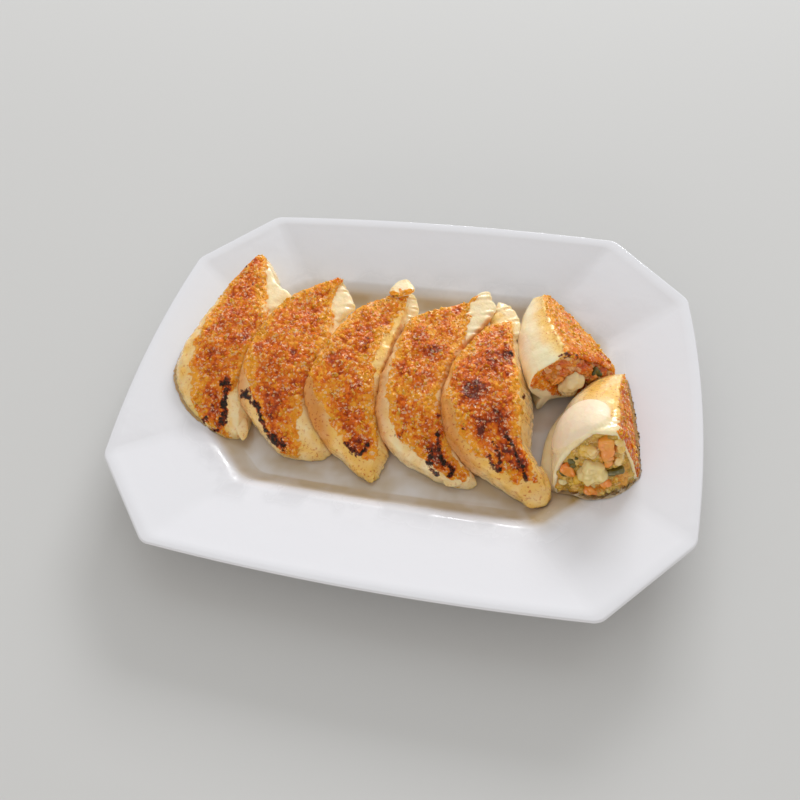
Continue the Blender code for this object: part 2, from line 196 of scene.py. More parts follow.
WHOLES = (
    Whole(
        "gyoza_1", (-65.5, -31.5, 8), (-75.5, 53, 25), 24, 2, 6.6, 6,
        left=(3, 11, 17, 23, 23, 19, 13.5, 9, 4.5, 1.5),
        right=(2, 3, 3, 4, 7, 8.5, 6.5, 3.8, 3.2, 1.5),
        bare_left=(0, 0, 1, 4.2, 4.6, 2.6, 0.6, 0, 0, 0),
        bare_right=(4, 5.5, 5.5, 3, 1, 0, 0, 0, 0, 0),
        crust_ends=(0, 1), tone=0.37, soak=0.75,
        leaves=(
            Leaf(((0.98, 0), (0.94, 4), (0.87, 7), (0.81, 10.2), (0.77, 15), (0.73, 16.3),
                  (0.66, 12.2), (0.60, 8), (0.66, 3), (0.80, 1)), 20.8, (0.05, -0.15), 4.6, 3, 1),
            Leaf(((0.17, -4.3), (0.09, -1.5), (0.03, 1.4), (-0.02, 5), (0.04, 6.4), (0.15, 2)),
                 9.5, (0.1, -0.1), 3, 3, 0.4)),
        spots=(Streak("char", ((0.22, -5), (0.235, -2.6), (0.20, -2), (0.15, -3.6), (0.12, -4.2)), 1.5),
               Streak("char", ((0.12, -3), (0.07, -3), (0.05, -3.8)), 1.7),
               Streak("brown", ((0.16, -7.5), (0.11, -6), (0.06, -4)), 2.8, 1.1),
               Spot("char", 0.06, -11.3, 1.6, 1.8), Spot("char", 0.02, -7.5, 1.2, 4, 0.8),
               Spot("brown", 0.18, -10, 3, 3, 0.6),
               Spot("brown", 0.50, -11.3, 6, 4, 0.5), Spot("brown", 0.44, -2, 4, 3, 0.4),
               Spot("brown", 0.86, -6.4, 5, 1.6, 1), Spot("brown", 0.94, -2.8, 4, 2, 0.7),
               Spot("pale", 0.82, 9, 14, 8), Spot("pale", 0.08, 1.5, 9, 4, 0.7),
               Spot("brown", 0.13, -4.5, 9, 4, 0.6), Spot("char", 0.90, -5.4, 2, 0.8, 0.7))),
    Whole(
        "gyoza_2", (-34, -36.5, 8), (-35.5, 43.4, 24), 25, 5, 4.5, 7,
        left=(8, 13, 19, 28, 29.3, 27.8, 24.6, 17.5, 9.5, 1.8),
        right=(4, 7, 6, 3, 2, 1.5, 0.5, -1.3, -2, 0.8),
        bare_left=(0, 0, 2, 4, 0.3, 0, 0, 0, 0, 0),
        bare_right=(6, 9, 10, 5, 1, 0, 0, 0, 0, 0),
        crust_ends=(0, 1), tone=0.37, soak=0.75,
        leaves=(
            Leaf(((0.97, -2.8), (0.99, -1.3), (0.97, 1.6), (0.93, 4.4), (0.88, 6.8), (0.85, 7.6),
                  (0.78, 4.4), (0.72, 0.8), (0.76, -3.5), (0.88, -4.6)), 19.6, (0.05, -0.2), 4.6, 3, 1),
            Leaf(((0.10, -11.7), (0.14, -10), (0.15, -7.3), (0.14, -3.7), (0.10, -0.3), (0.05, 0.6),
                  (0.03, -1.5), (0.04, -7)), 11.6, (0.2, -0.1), 3.6, 3, 1.1)),
        spots=(Streak("char", ((0.25, -25), (0.23, -28), (0.225, -25), (0.20, -22.3), (0.18, -19.8),
                               (0.14, -18.6), (0.10, -16.4), (0.07, -14.4)), 1.5),
               Streak("char", ((0.06, -13.6), (0.045, -11.5), (0.03, -8.2)), 2.1),
               Streak("brown", ((0.22, -16), (0.14, -13.5), (0.06, -11)), 3.4, 0.9),
               Spot("pale", 0.87, 1.5, 9, 6), Spot("pale", 0.10, -5, 5, 6, 0.6),
               Spot("brown", 0.18, -13.5, 7, 4.4, 0.9),
               Spot("brown", 0.48, -10.4, 1.8, 1.8, 1.1), Spot("brown", 0.78, -13.6, 4, 4, 0.5),
               Spot("brown", 0.34, -14.7, 2, 2, 0.5), Spot("brown", 0.13, -17, 7, 3.5, 0.7))),
    Whole(
        "gyoza_3", (-6, -41, 6.8), (-2.5, 40.5, 23), 25.5, 5, 3.6, 6,
        left=(3, 9.5, 19, 29, 31.3, 28.5, 25.5, 19, 11, 5),
        right=(1.5, 0.5, 0.5, -2, -3.5, -3.5, -3, -2.5, -2.5, -2),
        bare_left=(1, 4, 8, 6, 1, 0, 0, 0, 0, 0),
        bare_right=(0, 0, 0, 0, 2, 4, 3, 1, 0, 0),
        crust_ends=(0.085, 0.955), tone=0.36, soak=0.95,
        leaves=(
            Leaf(((0.95, -10.3), (1.00, -9.6), (1.04, -7.8), (1.06, -5), (1.04, -2.8), (1.00, -0.2),
                  (0.97, -0.5), (0.94, -3.8), (0.92, -7.3)), 24.6, (-0.1, 0), 2.6, 5, 0.3),
            Leaf(((0.97, -7.4), (1.00, -3.8), (1.00, -0.8), (0.96, 1.4), (0.91, 2.8), (0.86, 1.6),
                  (0.80, -1), (0.80, -5), (0.90, -8)), 19.5, (0.1, -0.3), 3.4, 4, 1),
            Leaf(((0.17, -3.5), (0.18, -0.2), (0.14, 1), (0.06, 1.2), (0.00, 1.4), (0.00, -1.8),
                  (0.05, -5.4), (0.12, -5.4)), 8.2, (0.25, 0.1), 2.6, 2, 0.3)),
        spots=(Streak("char", ((0.12, -11), (0.09, -8), (0.085, -5), (0.13, -2.4)), 1.2, 0.8),
               Streak("brown", ((0.17, -12), (0.12, -8), (0.14, -2)), 3, 0.9),
               Spot("pale", 0.98, -5.5, 10, 9),
               Spot("brown", 0.12, -6.5, 3.4, 6, 0.9), Spot("brown", 0.18, -11.9, 3, 3, 0.7),
               Spot("brown", 0.59, -13.4, 4, 2.5, 0.9), Spot("brown", 0.43, -17.2, 3, 4, 0.6),
               Spot("char", 0.925, -5.5, 0.7, 4, 0.45), Spot("brown", 0.50, -15.4, 1, 3, 1))),
    Whole(
        "gyoza_4", (29.5, -38.5, 6.8), (28, 39.5, 21), 25.5, 4, 4.2, 6,
        left=(3, 16, 27, 34.5, 36, 34, 32.2, 27, 16, 7),
        right=(1, 1, -4, -8.5, -12.5, -9, -7, -7, -7, -4),
        bare_left=(2, 5.5, 5.5, 4.6, 3.2, 1.6, 0.8, 0, 0, 0),
        bare_right=(3, 1, 0.5, 1, 1, 1, 0.5, 0, 0, 0),
        crust_ends=(0.03, 1), tone=0.33, soak=0.45,
        leaves=(
            Leaf(((0.96, -8), (1.02, -5.1), (1.055, -2), (1.055, 0.6), (1.01, 2), (0.97, 4),
                  (0.90, 2.8), (0.84, 0.6), (0.77, -2.7), (0.70, -7.2), (0.78, -9.4), (0.89, -8.9)),
                 21.3, (0.1, -0.12), 3.6, 4, 1.1),
            Leaf(((0.12, -7.3), (0.125, -4), (0.11, -0.8), (0.09, 1), (0.07, 1.6), (0.03, 0.4),
                  (0.00, -2.5), (0.00, -6.9), (0.05, -8.4)), 9.2, (0.3, 0.1), 2.4, 2, 0.3)),
        spots=(Streak("char", ((0.13, -12.6), (0.09, -13.6), (0.05, -12.8), (0.035, -10.6)), 1.3),
               Streak("char", ((0.20, -11.4), (0.15, -10.8), (0.11, -9.6), (0.08, -8.2), (0.075, -6),
                               (0.06, -4.4), (0.04, -5.4)), 1.2),
               Streak("brown", ((0.13, -12), (0.06, -11.5), (0.08, -7)), 3),
               Spot("pale", 0.98, -1.5, 7, 5, 0.8), Spot("brown", 0.09, -9.5, 4, 4, 0.5),
               Spot("char", 0.17, -25.5, 2, 2, 0.6), Spot("brown", 0.18, -25.5, 3.6, 3.4, 0.7),
               Spot("brown", 0.48, -28.4, 4, 3, 0.9), Spot("brown", 0.63, -17.6, 4, 4, 0.8),
               Spot("brown", 0.67, -26.7, 3, 4, 0.6), Spot("brown", 0.92, -11.6, 6, 2.5, 0.8),
               Spot("brown", 0.20, -11, 5, 2, 0.7), Spot("char", 0.28, -12.2, 1, 1, 0.8))),
    Whole(
        "gyoza_5", (58.5, -41.5, 6.8), (36, 38, 17.5), 26, 1, 2.2, 6,
        left=(3, 8, 15, 26.5, 31, 29.4, 23.5, 13.5, 7, 4),
        right=(1, 2, 0, -5, -3, -2, -1.5, 0, 1.5, 1),
        bare_left=(3, 4, 3.8, 3.4, 3, 2, 1, 0, 0, 0),
        bare_right=(3, 3, 1, 0, 0, 0, 0, 0, 1, 0),
        crust_ends=(0.10, 0.90), tone=0.42, soak=0.9,
        leaves=(
            Leaf(((0.93, -7.6), (1.00, -5), (1.05, -3.2), (1.06, -1.7), (1.04, 1.2), (1.00, 3.2),
                  (0.95, 4.6), (0.88, 4.4), (0.82, 2.3), (0.84, -2)), 18.2, (0, -0.1), 4, 3, 1),
            Leaf(((0.82, -0.5), (0.80, 3.2), (0.75, 4.8), (0.70, 4.8), (0.64, 3.1), (0.60, 0.6),
                  (0.62, -2.6), (0.72, -3)), 17, (0, -0.25), 3.4, 5, 0.7),
            Leaf(((0.14, -4.8), (0.165, -1.2), (0.175, 1.6), (0.155, 3), (0.10, 4.2), (0.05, 3.8),
                  (0.005, 1.8), (-0.005, -1), (0.00, -5.3), (0.06, -7)), 9.4, (0.15, 0), 3.2, 5, 0.4)),
        spots=(Spot("brown", 0.62, -10.3, 9, 7, 0.75), Spot("char", 0.68, -3, 3.6, 1.8, 0.8),
               Spot("brown", 0.66, -4, 7, 3), Spot("brown", 0.35, -17.8, 5, 4, 0.9),
               Spot("char", 0.32, -24.3, 2, 2.2, 0.6), Spot("brown", 0.48, -18.7, 8, 6, 1),
               Spot("brown", 0.36, -11, 4, 4, 0.8), Spot("pale", 0.98, 1.5, 7, 5, 0.85),
               Spot("pale", 0.70, 2.5, 9, 4, 0.6),
               Streak("char", ((0.27, -9.4), (0.23, -8.2), (0.19, -7.3), (0.16, -6.8), (0.13, -5.6),
                               (0.10, -4.6)), 1.3),
               Streak("brown", ((0.38, -12), (0.30, -10.4), (0.22, -8), (0.14, -6)), 2.6),
               Streak("char", ((0.25, -14.8), (0.21, -13.4), (0.17, -13.6)), 1.1, 0.8),
               Streak("char", ((0.20, -17), (0.165, -16.4), (0.145, -13.4)), 1.3, 0.8),
               Spot("brown", 0.22, -11, 9, 6, 0.6), Spot("char", 0.46, -0.7, 3, 1, 0.7))),
)

# --- The cut dumpling ---------------------------------------------------------------------------


class Bit(NamedTuple):
    """A piece of the filling that shows on the cut: its finish, place, half sizes and turn."""

    kind: str
    x: float
    z: float
    size: tuple
    turn: float


class Half(NamedTuple):
    """Half a gyoza in its own frame: the cut in the XZ plane, the horn along +Y, crust on top.

    middle and turn set that frame in place. crest_x is where the seam lies on the cut, and swing
    how soon it comes back to the middle. sag and wave shape the cut, and left_swell and lip its
    outline. blister is a taut patch on the left side: its middle and its half sizes along Y and Z.
    """

    name: str
    middle: tuple
    turn: tuple
    length: float
    face_width: float
    crest_x: float
    swing: float
    depth: float
    sag: float
    wave: float
    folds: float
    left_swell: float
    lip: float
    chunk: tuple
    chunk_size: tuple
    chunk_turn: float
    tone: float
    rim_crust: float
    blister: tuple
    blister_rise: float
    bits: tuple


HALVES = (
    Half("half_back", (70.7, 13.5, 23.8), (-12, 39, 20), 42, 27.5, -6, 3, 29,
         sag=4, wave=2.2, folds=0.3, left_swell=3.6, lip=6.4,
         chunk=(-2, -11.2), chunk_size=(4.2, 3.4, 6.2), chunk_turn=-8,
         tone=0.25, rim_crust=1, blister=(16, -17, 15, 10), blister_rise=0,
         bits=(Bit("chive", 4.4, -2.8, (1.3, 0.9, 1.5), 20), Bit("chive", 6.4, -3.4, (0.7, 0.6, 1), 60),
               Bit("carrot", 7.6, -6.4, (1.7, 1.4, 1.9), 30), Bit("carrot", 5, -5, (1.1, 1, 1), 0),
               Bit("carrot", -9, -12, (1.2, 1, 2.4), 10))),
    Half("half_front", (84.8, -25.6, 24.6), (-31, 61, -27), 42, 26, 7, 0.6, 35,
         sag=6.2, wave=1.4, folds=0.12, left_swell=2.2, lip=0,
         chunk=(2.2, -13), chunk_size=(6.2, 3.6, 5), chunk_turn=18,
         tone=0.34, rim_crust=0, blister=(8, -14, 9.2, 12.3), blister_rise=1,
         bits=(Bit("carrot", -7.4, -5.2, (5, 2.6, 2.5), 12), Bit("carrot", -1.6, -6.6, (2.2, 2, 1.2), 30),
               Bit("carrot", 6.6, -10.2, (1.6, 1.8, 2.2), -20),
               Bit("carrot", 7.8, -14.6, (1.4, 1.6, 2.8), 30),
               Bit("carrot", -0.6, -21, (2.6, 1.5, 2.2), 5),
               Bit("cabbage", -7.6, -11.4, (2.4, 1.9, 3.6), 25), Bit("cabbage", -7.6, -1, (3.2, 1.4, 1.3), 0),
               Bit("cabbage", -1.6, -2.8, (2.4, 1.7, 1.5), 25),
               Bit("cabbage", 3.8, -20, (1.4, 1.3, 2.6), -30),
               Bit("chive", -3.6, -18.4, (2.2, 1, 1.2), 12), Bit("chive", 3.4, -5.4, (1.3, 1.3, 2.9), -10),
               Bit("chive", 0.8, -23, (0.9, 0.9, 1.5), 40), Bit("chive", -5.8, -16.4, (0.6, 0.7, 0.8), 40),
               Bit("mince", -3.2, -12.6, (1.3, 1.2, 0.9), 0), Bit("prawn", 3.2, -23.6, (1.1, 0.9, 1.4), 0))),
)
SKIN = 1.4
BELLY_SWELL = 4.5
NECK_HALF_WIDTH = 1.9
FIN_LENGTH = 6.5
FIN_HALF_WIDTH = 1.3
HORN_END = 0.985
FACE_TAPER = 0.62
CUT_DEPTH_SHARE = 0.16
# How finely a half's parts are divided.
HALF_STATIONS = 90
HALF_FACE_STEPS = 44
HALF_SIDE_STEPS = 36
HALF_END_STEPS = 16
HOLLOW_STEPS = 8
FILLING_STEPS = 45
FILLING_BACK_STEPS = 7

# --- Camera and light ---------------------------------------------------------------------------
CAMERA_AIM = (-0.0033, 0.0003, 0.0)
CAMERA_AZIMUTH = 19.94
CAMERA_ELEVATION = 57.42
CAMERA_ROLL = -10.0
CAMERA_DISTANCE = 0.2698
LENS = 28.8
SENSOR = 36.0
TABLE_HALF = 2.0


class Lamp(NamedTuple):
    """A soft light that faces the plate. Its power is the stage's value of the same name."""

    name: str
    place: tuple
    size: tuple
    colour: tuple


LAMPS = (
    Lamp("window", (0.1, 1.7, 1.7), (3.4, 2.0), (0.86, 0.93, 1.0)),
    Lamp("fill", (-0.3, -2.15, 0.5), (2.2, 0.5), (1.0, 0.98, 0.95)),
    Lamp("sill", (0.2, 2.2, 0.95), (1.3, 0.5), (0.95, 0.97, 1.0)),
)
ROOM_COLOUR = (1.0, 0.985, 0.96, 1.0)


def srgb(red, green, blue):
    """A linear colour from display values out of 255."""
    def linear(value):
        value /= 255.0
        return value / 12.92 if value <= 0.04045 else ((value + 0.055) / 1.055) ** 2.4
    return (linear(red), linear(green), linear(blue))


def size_property(name, description, millimetres):
    return number_property(
        name, description, millimetres * MM, subtype="DISTANCE", unit="LENGTH", precision=5)


def colour_property(name, description, *display):
    return bpy.props.FloatVectorProperty(
        name=name, description=description, default=srgb(*display), size=3, min=0.0, max=1.0,
        subtype="COLOR")


def number_property(name, description, default, **settings):
    return bpy.props.FloatProperty(name=name, description=description, default=default, min=0.0, **settings)


class GyozaSizes(bpy.types.PropertyGroup):
    """Sizes of the dough's and the crust's relief."""

    pebble_size: size_property("Pebble size", "Width of a blister on the browned crust", 1.9)
    pebble_height: size_property("Pebble height", "Height of a blister on the crust", 0.95)
    warp_height: size_property("Warp height", "How far the crust warps up and down", 0.8)
    wrinkle_height: size_property("Wrinkle height", "Height of the folds in the pale dough", 0.5)
    flake_size: size_property("Flake size", "Half length of a crisp flake", 0.85)
    flake_density: number_property("Flake density", "Flakes on each square metre of crust", 150000.0)
    crown: size_property("Crown", "How far a face rises towards its middle", 1.2)


class GyozaColours(bpy.types.PropertyGroup):
    """Base colours of the finishes."""

    glaze: colour_property("Glaze", "White glaze of the plate", 226, 225, 228)
    cream: colour_property("Cream dough", "Thin, steamed dough", 254, 236, 200)
    taut: colour_property("Taut dough", "Thin dough over the prawn", 255, 222, 196)
    yellow: colour_property("Yellow dough", "Oily dough next to the crust", 242, 188, 70)
    golden: colour_property("Golden crust", "Lightly fried dough", 244, 164, 42)
    orange: colour_property("Orange crust", "Well fried dough", 224, 106, 6)
    brown: colour_property("Brown crust", "Dark fried dough", 174, 58, 5)
    plum: colour_property("Darkest crust", "The most fried patches", 106, 38, 26)
    # Painted highlights: pale flecks that stand in for the crust's small glints.
    crystal: colour_property("Crystals", "Pale crisp crumbs on the crust", 255, 228, 190)
    # Oil and painted shade: the colour multiplied into the gaps between the dumplings.
    amber: colour_property("Amber oil", "Oil in the gaps between the dumplings", 206, 150, 84)
    # Painted shade and painted warm reflection of the food in the plate's well, with a little oil.
    stain: colour_property("Stain", "Oil and soy on the plate", 178, 150, 98)
    char: colour_property("Char", "Burnt spots", 26, 16, 12)
    mince: colour_property("Mince", "Chopped filling", 240, 160, 48)
    prawn: colour_property("Prawn", "Cooked prawn", 238, 212, 134)
    carrot: colour_property("Carrot", "Carrot dice", 255, 146, 56)
    green: colour_property("Green", "Chives", 26, 58, 8)
    egg: colour_property("Cabbage", "Yellow-green leaf bits", 236, 186, 58)
    table: colour_property("Table", "Floor of the stage", 206, 205, 203)


class GyozaStage(bpy.types.PropertyGroup):
    """Strength of the light."""

    window: number_property("Window", "Power of the large soft light behind the plate", 15.5, unit="POWER")
    sill: number_property("Sill", "Power of the low, bright part of the window", 35.0, unit="POWER")
    fill: number_property("Fill", "Power of the soft light in front", 7.5, unit="POWER")
    room: number_property("Room", "Strength of the light from all around", 0.6)


# --- Small mathematics --------------------------------------------------------------------------


def mix(start, end, share):
    return start + (end - start) * share


def smooth(low, high, value):
    """0 below low, 1 above high, and a smooth rise between them."""
    share = np.clip((value - low) / (high - low), 0.0, 1.0)
    return share * share * (3.0 - 2.0 * share)


def eased(knots, values, at):
    """A smooth curve through values at knots, read at an array of places."""
    knots = np.array(knots)
    values = np.array(values)
    slopes = np.gradient(values, knots)
    at = np.clip(at, knots[0], knots[-1])
    index = np.clip(np.searchsorted(knots, at) - 1, 0, len(knots) - 2)
    width = knots[index + 1] - knots[index]
    t = (at - knots[index]) / width
    start = values[index] * (2 * t ** 3 - 3 * t ** 2 + 1) + slopes[index] * width * (t ** 3 - 2 * t ** 2 + t)
    end = values[index + 1] * (3 * t ** 2 - 2 * t ** 3) + slopes[index + 1] * width * (t ** 3 - t ** 2)
    return start + end


def bow(share, peak, fullness):
    """0 at both ends of a line and 1 at peak, along a quarter sine on each side of it."""
    share = min(max(share, 0.0), 1.0)
    before, after = fullness
    if share < peak:
        return math.sin(0.5 * math.pi * share / peak) ** before
    return math.sin(0.5 * math.pi * (1.0 - share) / (1.0 - peak)) ** after


def taper(share, fullness):
    """1 at the start of a line and 0 at its end, along a quarter sine."""
    return max(math.cos(0.5 * math.pi * share), 0.0) ** fullness


def bezier(points, steps):
    """An array of points along a cubic curve, without its last one."""
    a, b, c, d = (np.array(p, float) for p in points)
    t = (np.arange(steps) / steps)[:, None]
    u = 1.0 - t
    return u ** 3 * a + 3 * u * u * t * b + 3 * u * t * t * c + t ** 3 * d


def perlin(points, size, seed=0.0):
    """Smooth noise from -1 to 1, whose lumps are about size across."""
    return np.array([noise.noise(Vector(p)) for p in points / size + seed])


def layered(points, *layers):
    """Layers of noise on each other, each with its height, the size of its lumps and a seed."""
    return sum(height * perlin(points, size, seed) for height, size, seed in layers)


def pebbled(points, size, seed=0.0):
    """Rounded bumps from 0 to 1, packed side by side and about size across."""
    nearest = np.array([noise.voronoi(Vector(p))[0][0] for p in points / size + seed])
    return np.clip(1.0 - (nearest / 0.75) ** 2, 0.0, 1.0)


def relaxed(rings, times):
    """Rings of points whose sharp corners are eased."""
    for _ in range(times):
        rings = 0.25 * (np.roll(rings, 1, axis=1) + np.roll(rings, -1, axis=1)) + 0.5 * rings
    return rings


# --- Meshes -------------------------------------------------------------------------------------


def linked(name, data):
    """A new object in the scene."""
    made = bpy.data.objects.new(name, data)
    bpy.context.scene.collection.objects.link(made)
    return made


def solid_from_rings(name, rings):
    """One closed solid from rings of points in millimetres, with its ends closed to a point."""
    count, size = rings.shape[0], rings.shape[1]
    points = rings.reshape(-1, 3)
    ends = np.array([rings[0].mean(axis=0), rings[-1].mean(axis=0)])
    faces = []
    for ring in range(count - 1):
        for i in range(size):
            j = (i + 1) % size
            low, high = ring * size, (ring + 1) * size
            faces.append((low + i, low + j, high + j, high + i))
    first, last = count * size, count * size + 1
    for i in range(size):
        j = (i + 1) % size
        faces.append((j, i, first))
        faces.append(((count - 1) * size + i, (count - 1) * size + j, last))
    mesh = bpy.data.meshes.new(name)
    mesh.from_pydata((np.vstack([points, ends]) * MM).tolist(), [], faces)
    if signed_volume(mesh) < 0.0:
        mesh.flip_normals()
    mesh.update()
    mesh.shade_smooth()
    return linked(name, mesh)


def triples(items, name, kind=np.float32):
    """Three numbers of each of a mesh's items, as rows of an array."""
    values = np.empty(len(items) * 3, kind)
    items.foreach_get(name, values)
    return values.reshape(-1, 3)


def corners_of(mesh):
    """The points of a mesh, in millimetres."""
    return triples(mesh.vertices, "co").astype(float) / MM


def normals_of(mesh):
    """The unit normals at a mesh's points."""
    return triples(mesh.vertices, "normal").astype(float)


def signed_volume(mesh):
    """Six times a mesh's volume, which is below 0 where its faces point inwards."""
    mesh.calc_loop_triangles()
    a, b, c = corners_of(mesh)[triples(mesh.loop_triangles, "vertices", np.int32)].transpose(1, 0, 2)
    return np.einsum("ij,ij->i", a, np.cross(b, c)).sum()


def set_corners(mesh, points):
    mesh.vertices.foreach_set("co", (points * MM).astype(np.float32).ravel())
    mesh.update()


def set_mask(mesh, name, values):
    """Stores a value from 0 to 1 at each point, for the materials."""
    attribute = mesh.attributes.get(name) or mesh.attributes.new(name, "FLOAT", "POINT")
    attribute.data.foreach_set("value", np.clip(values, 0.0, 1.0).astype(np.float32))


def plain_mesh(made):
    """Turns what an object's modifiers make into its own mesh."""
    graph = bpy.context.evaluated_depsgraph_get()
    mesh = bpy.data.meshes.new_from_object(made.evaluated_get(graph))
    made.modifiers.clear()
    made.data = mesh
    return made


def carve(solid, other, operation):
    """Joins another solid to this one, or cuts it away."""
    boolean = solid.modifiers.new("carve", "BOOLEAN")
    boolean.operation = operation
    boolean.solver = "MANIFOLD"
    boolean.object = other
    plain_mesh(solid)
    if not solid.data.vertices:
        raise RuntimeError(f"{solid.name} was carved away")
    return solid


def shells_of(work):
    """The separate shells of a bmesh, as lists of its faces, smallest first."""
    shells = []
    unseen = set(work.faces)
    while unseen:
        shell = []
        reached = [unseen.pop()]
        while reached:
            face = reached.pop()
            shell.append(face)
            beside = {other for edge in face.edges for other in edge.link_faces} & unseen
            unseen -= beside
            reached.extend(beside)
        shells.append(shell)
    return sorted(shells, key=len)


def drop_specks(made):
    """Removes the specks that cuts leave beside the main body."""
    work = bmesh.new()
    work.from_mesh(made.data)
    specks = [face for shell in shells_of(work)[:-1] for face in shell]
    bmesh.ops.delete(work, geom=specks, context="FACES")
    work.to_mesh(made.data)
    work.free()


def finish_piece(made, finish, slot, *nodes):
    """Gives a piece its material and smooth shading, puts it on the plate's body and hides the parts of the
    model that it takes the place of.
    """
    made.data.materials.clear()
    made.data.materials.append(finish)
    made.data.shade_smooth()
    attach(made, BODY)
    if nodes:
        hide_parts(*nodes)


# --- Shader nodes -------------------------------------------------------------------------------


class Wire:
    """A node's output, which takes + - * / like a number."""

    def __init__(self, tree, socket):
        self.tree = tree
        self.socket = socket

    def maths(self, operation, first, second=0.0, clamp=False):
        inputs = {0: first, 1: second}
        return wire(self.tree, "ShaderNodeMath", inputs, operation=operation, use_clamp=clamp)

    def clamped(self):
        return self.maths("ADD", self, clamp=True)

    def __add__(self, other):
        return self.maths("ADD", self, other)

    def __sub__(self, other):
        return self.maths("SUBTRACT", self, other)

    def __rsub__(self, other):
        return self.maths("SUBTRACT", other, self)

    def __mul__(self, other):
        return self.maths("MULTIPLY", self, other)

    def __truediv__(self, other):
        return self.maths("DIVIDE", self, other)

    def __rtruediv__(self, other):
        return self.maths("DIVIDE", other, self)


def add(tree, kind, inputs=None, **settings):
    """A node with its settings and inputs. An input is a value or a wire."""
    node = tree.nodes.new(kind)
    for key, value in settings.items():
        setattr(node, key, value)
    for key, value in (inputs or {}).items():
        if isinstance(value, Wire):
            tree.links.new(value.socket, node.inputs[key])
        else:
            node.inputs[key].default_value = value
    return node


def wire(tree, kind, inputs=None, output=0, **settings):
    """One output of a new node."""
    return Wire(tree, add(tree, kind, inputs, **settings).outputs[output])


def wires(tree, kind, inputs=None, **settings):
    """All outputs of a new node, by name."""
    node = add(tree, kind, inputs, **settings)
    return {socket.name: Wire(tree, socket) for socket in node.outputs}


def blend(tree, factor, first, second, mode="MIX"):
    """A mixed colour."""
    first, second = (end if isinstance(end, Wire) else (*end, 1.0) for end in (first, second))
    inputs = {0: factor, 6: first, 7: second}
    return wire(tree, "ShaderNodeMix", inputs, 2, data_type="RGBA", blend_type=mode)


def mixed(first, second, share):
    """A colour between two colours."""
    return tuple(mix(a, b, share) for a, b in zip(first, second))


def darker(colour, share):
    return tuple(share * part for part in colour)


def mask(tree, name):
    """A value that is stored at the mesh's points."""
    return wire(tree, "ShaderNodeAttribute", output="Fac", attribute_name=name)


def climb(tree, value, low, high, curve="LINEAR"):
    """0 where a value is below low, 1 where it is above high, and a climb between them."""
    return wire(tree, "ShaderNodeMapRange", {0: value, 1: low, 2: high}, interpolation_type=curve)


def ramp(tree, value, stops):
    """A value turned into colours through stops of (place, colour)."""
    node = add(tree, "ShaderNodeValToRGB", {0: value})
    elements = node.color_ramp.elements
    while len(elements) < len(stops):
        elements.new(0.5)
    for element, (place, colour) in zip(elements, stops):
        element.position = place
        element.color = (*colour, 1.0)
    return Wire(tree, node.outputs["Color"])


def place_on_piece(tree):
    return wire(tree, "ShaderNodeTexCoord", output="Object")


def vector(tree, operation, *parts, **inputs):
    """A sum, difference or other combination of vectors."""
    inputs.update(enumerate(parts))
    return wire(tree, "ShaderNodeVectorMath", inputs, operation=operation)


def speckle(tree, millimetres, detail=3.0, roughness=0.55, seed=0.0):
    """Noise from 0 to 1 with features of a size."""
    inputs = {"Vector": vector(tree, "ADD", place_on_piece(tree), (seed, seed, seed)),
              "Scale": 1.0 / (millimetres * MM), "Detail": detail, "Roughness": roughness}
    return wire(tree, "ShaderNodeTexNoise", inputs, "Fac")


def new_group(name, inputs, outputs):
    """An empty shader group. Its sockets are numbers, apart from a normal."""
    group = bpy.data.node_groups.new(name, "ShaderNodeTree")
    for in_out, sockets in (("INPUT", inputs), ("OUTPUT", outputs)):
        for socket in sockets:
            kind = "NodeSocketVector" if socket == "Normal" else "NodeSocketFloat"
            group.interface.new_socket(socket, in_out=in_out, socket_type=kind)
    return group


def moist_grain():
    """A shared effect: fine and coarse mottling and the height of tiny bumps."""
    group = new_group("moist_grain", ("Size",), ("Fine", "Coarse", "Height"))
    scale = 1.0 / wire(group, "NodeGroupInput", output="Size")
    inputs = {"Vector": place_on_piece(group), "Scale": scale}
    cells = wire(group, "ShaderNodeTexVoronoi", inputs, "Distance", feature="SMOOTH_F1")
    fine = wire(group, "ShaderNodeTexNoise", {**inputs, "Detail": 4.0, "Roughness": 0.6}, "Fac")
    coarse = wire(group, "ShaderNodeTexNoise", {**inputs, "Scale": scale / 6.0, "Detail": 3.0}, "Fac")
    add(group, "NodeGroupOutput", {"Fine": fine, "Coarse": coarse, "Height": fine - cells})
    return group


def crisp_facets():
    """A shared effect: crisp flat facets, each tilted its own way, and a random shade for each."""
    group = new_group("crisp_facets", ("Size", "Tilt"), ("Normal", "Shade", "Small"))
    given = wires(group, "NodeGroupInput")
    place = place_on_piece(group)
    scale = 1.0 / given["Size"]
    swirl = wire(group, "ShaderNodeTexNoise", {"Vector": place, "Scale": scale, "Detail": 2.0}, "Color")
    bent = vector(group, "ADD", place, vector(group, "SCALE", swirl, Scale=given["Size"]))
    large = wire(group, "ShaderNodeTexVoronoi", {"Vector": bent, "Scale": scale}, "Color")
    small = wire(group, "ShaderNodeTexVoronoi", {"Vector": bent, "Scale": scale * 2.0}, "Color")
    lean = vector(group, "SUBTRACT", vector(group, "ADD", large, small), (1.0, 1.0, 1.0))
    surface = wire(group, "ShaderNodeNewGeometry", output="Normal")
    facing = vector(group, "ADD", surface, vector(group, "SCALE", lean, Scale=given["Tilt"]))
    add(group, "NodeGroupOutput", {
        "Normal": vector(group, "NORMALIZE", facing),
        "Shade": wire(group, "ShaderNodeSeparateColor", {0: large}),
        "Small": wire(group, "ShaderNodeSeparateColor", {0: small})})
    return group


def shared(tree, effect, **inputs):
    """Places a shared effect, which is built the first time, and gives its outputs by name."""
    group = bpy.data.node_groups.get(effect.__name__) or effect()
    return wires(tree, "ShaderNodeGroup", inputs, node_tree=group)


# --- Finishes -----------------------------------------------------------------------------------
# What every finish starts from.
GLOSS = {"IOR": 1.45, "Coat Roughness": 0.06, "Subsurface Radius": (1.0, 0.65, 0.4),
         "Subsurface Scale": 0.1 * MM}


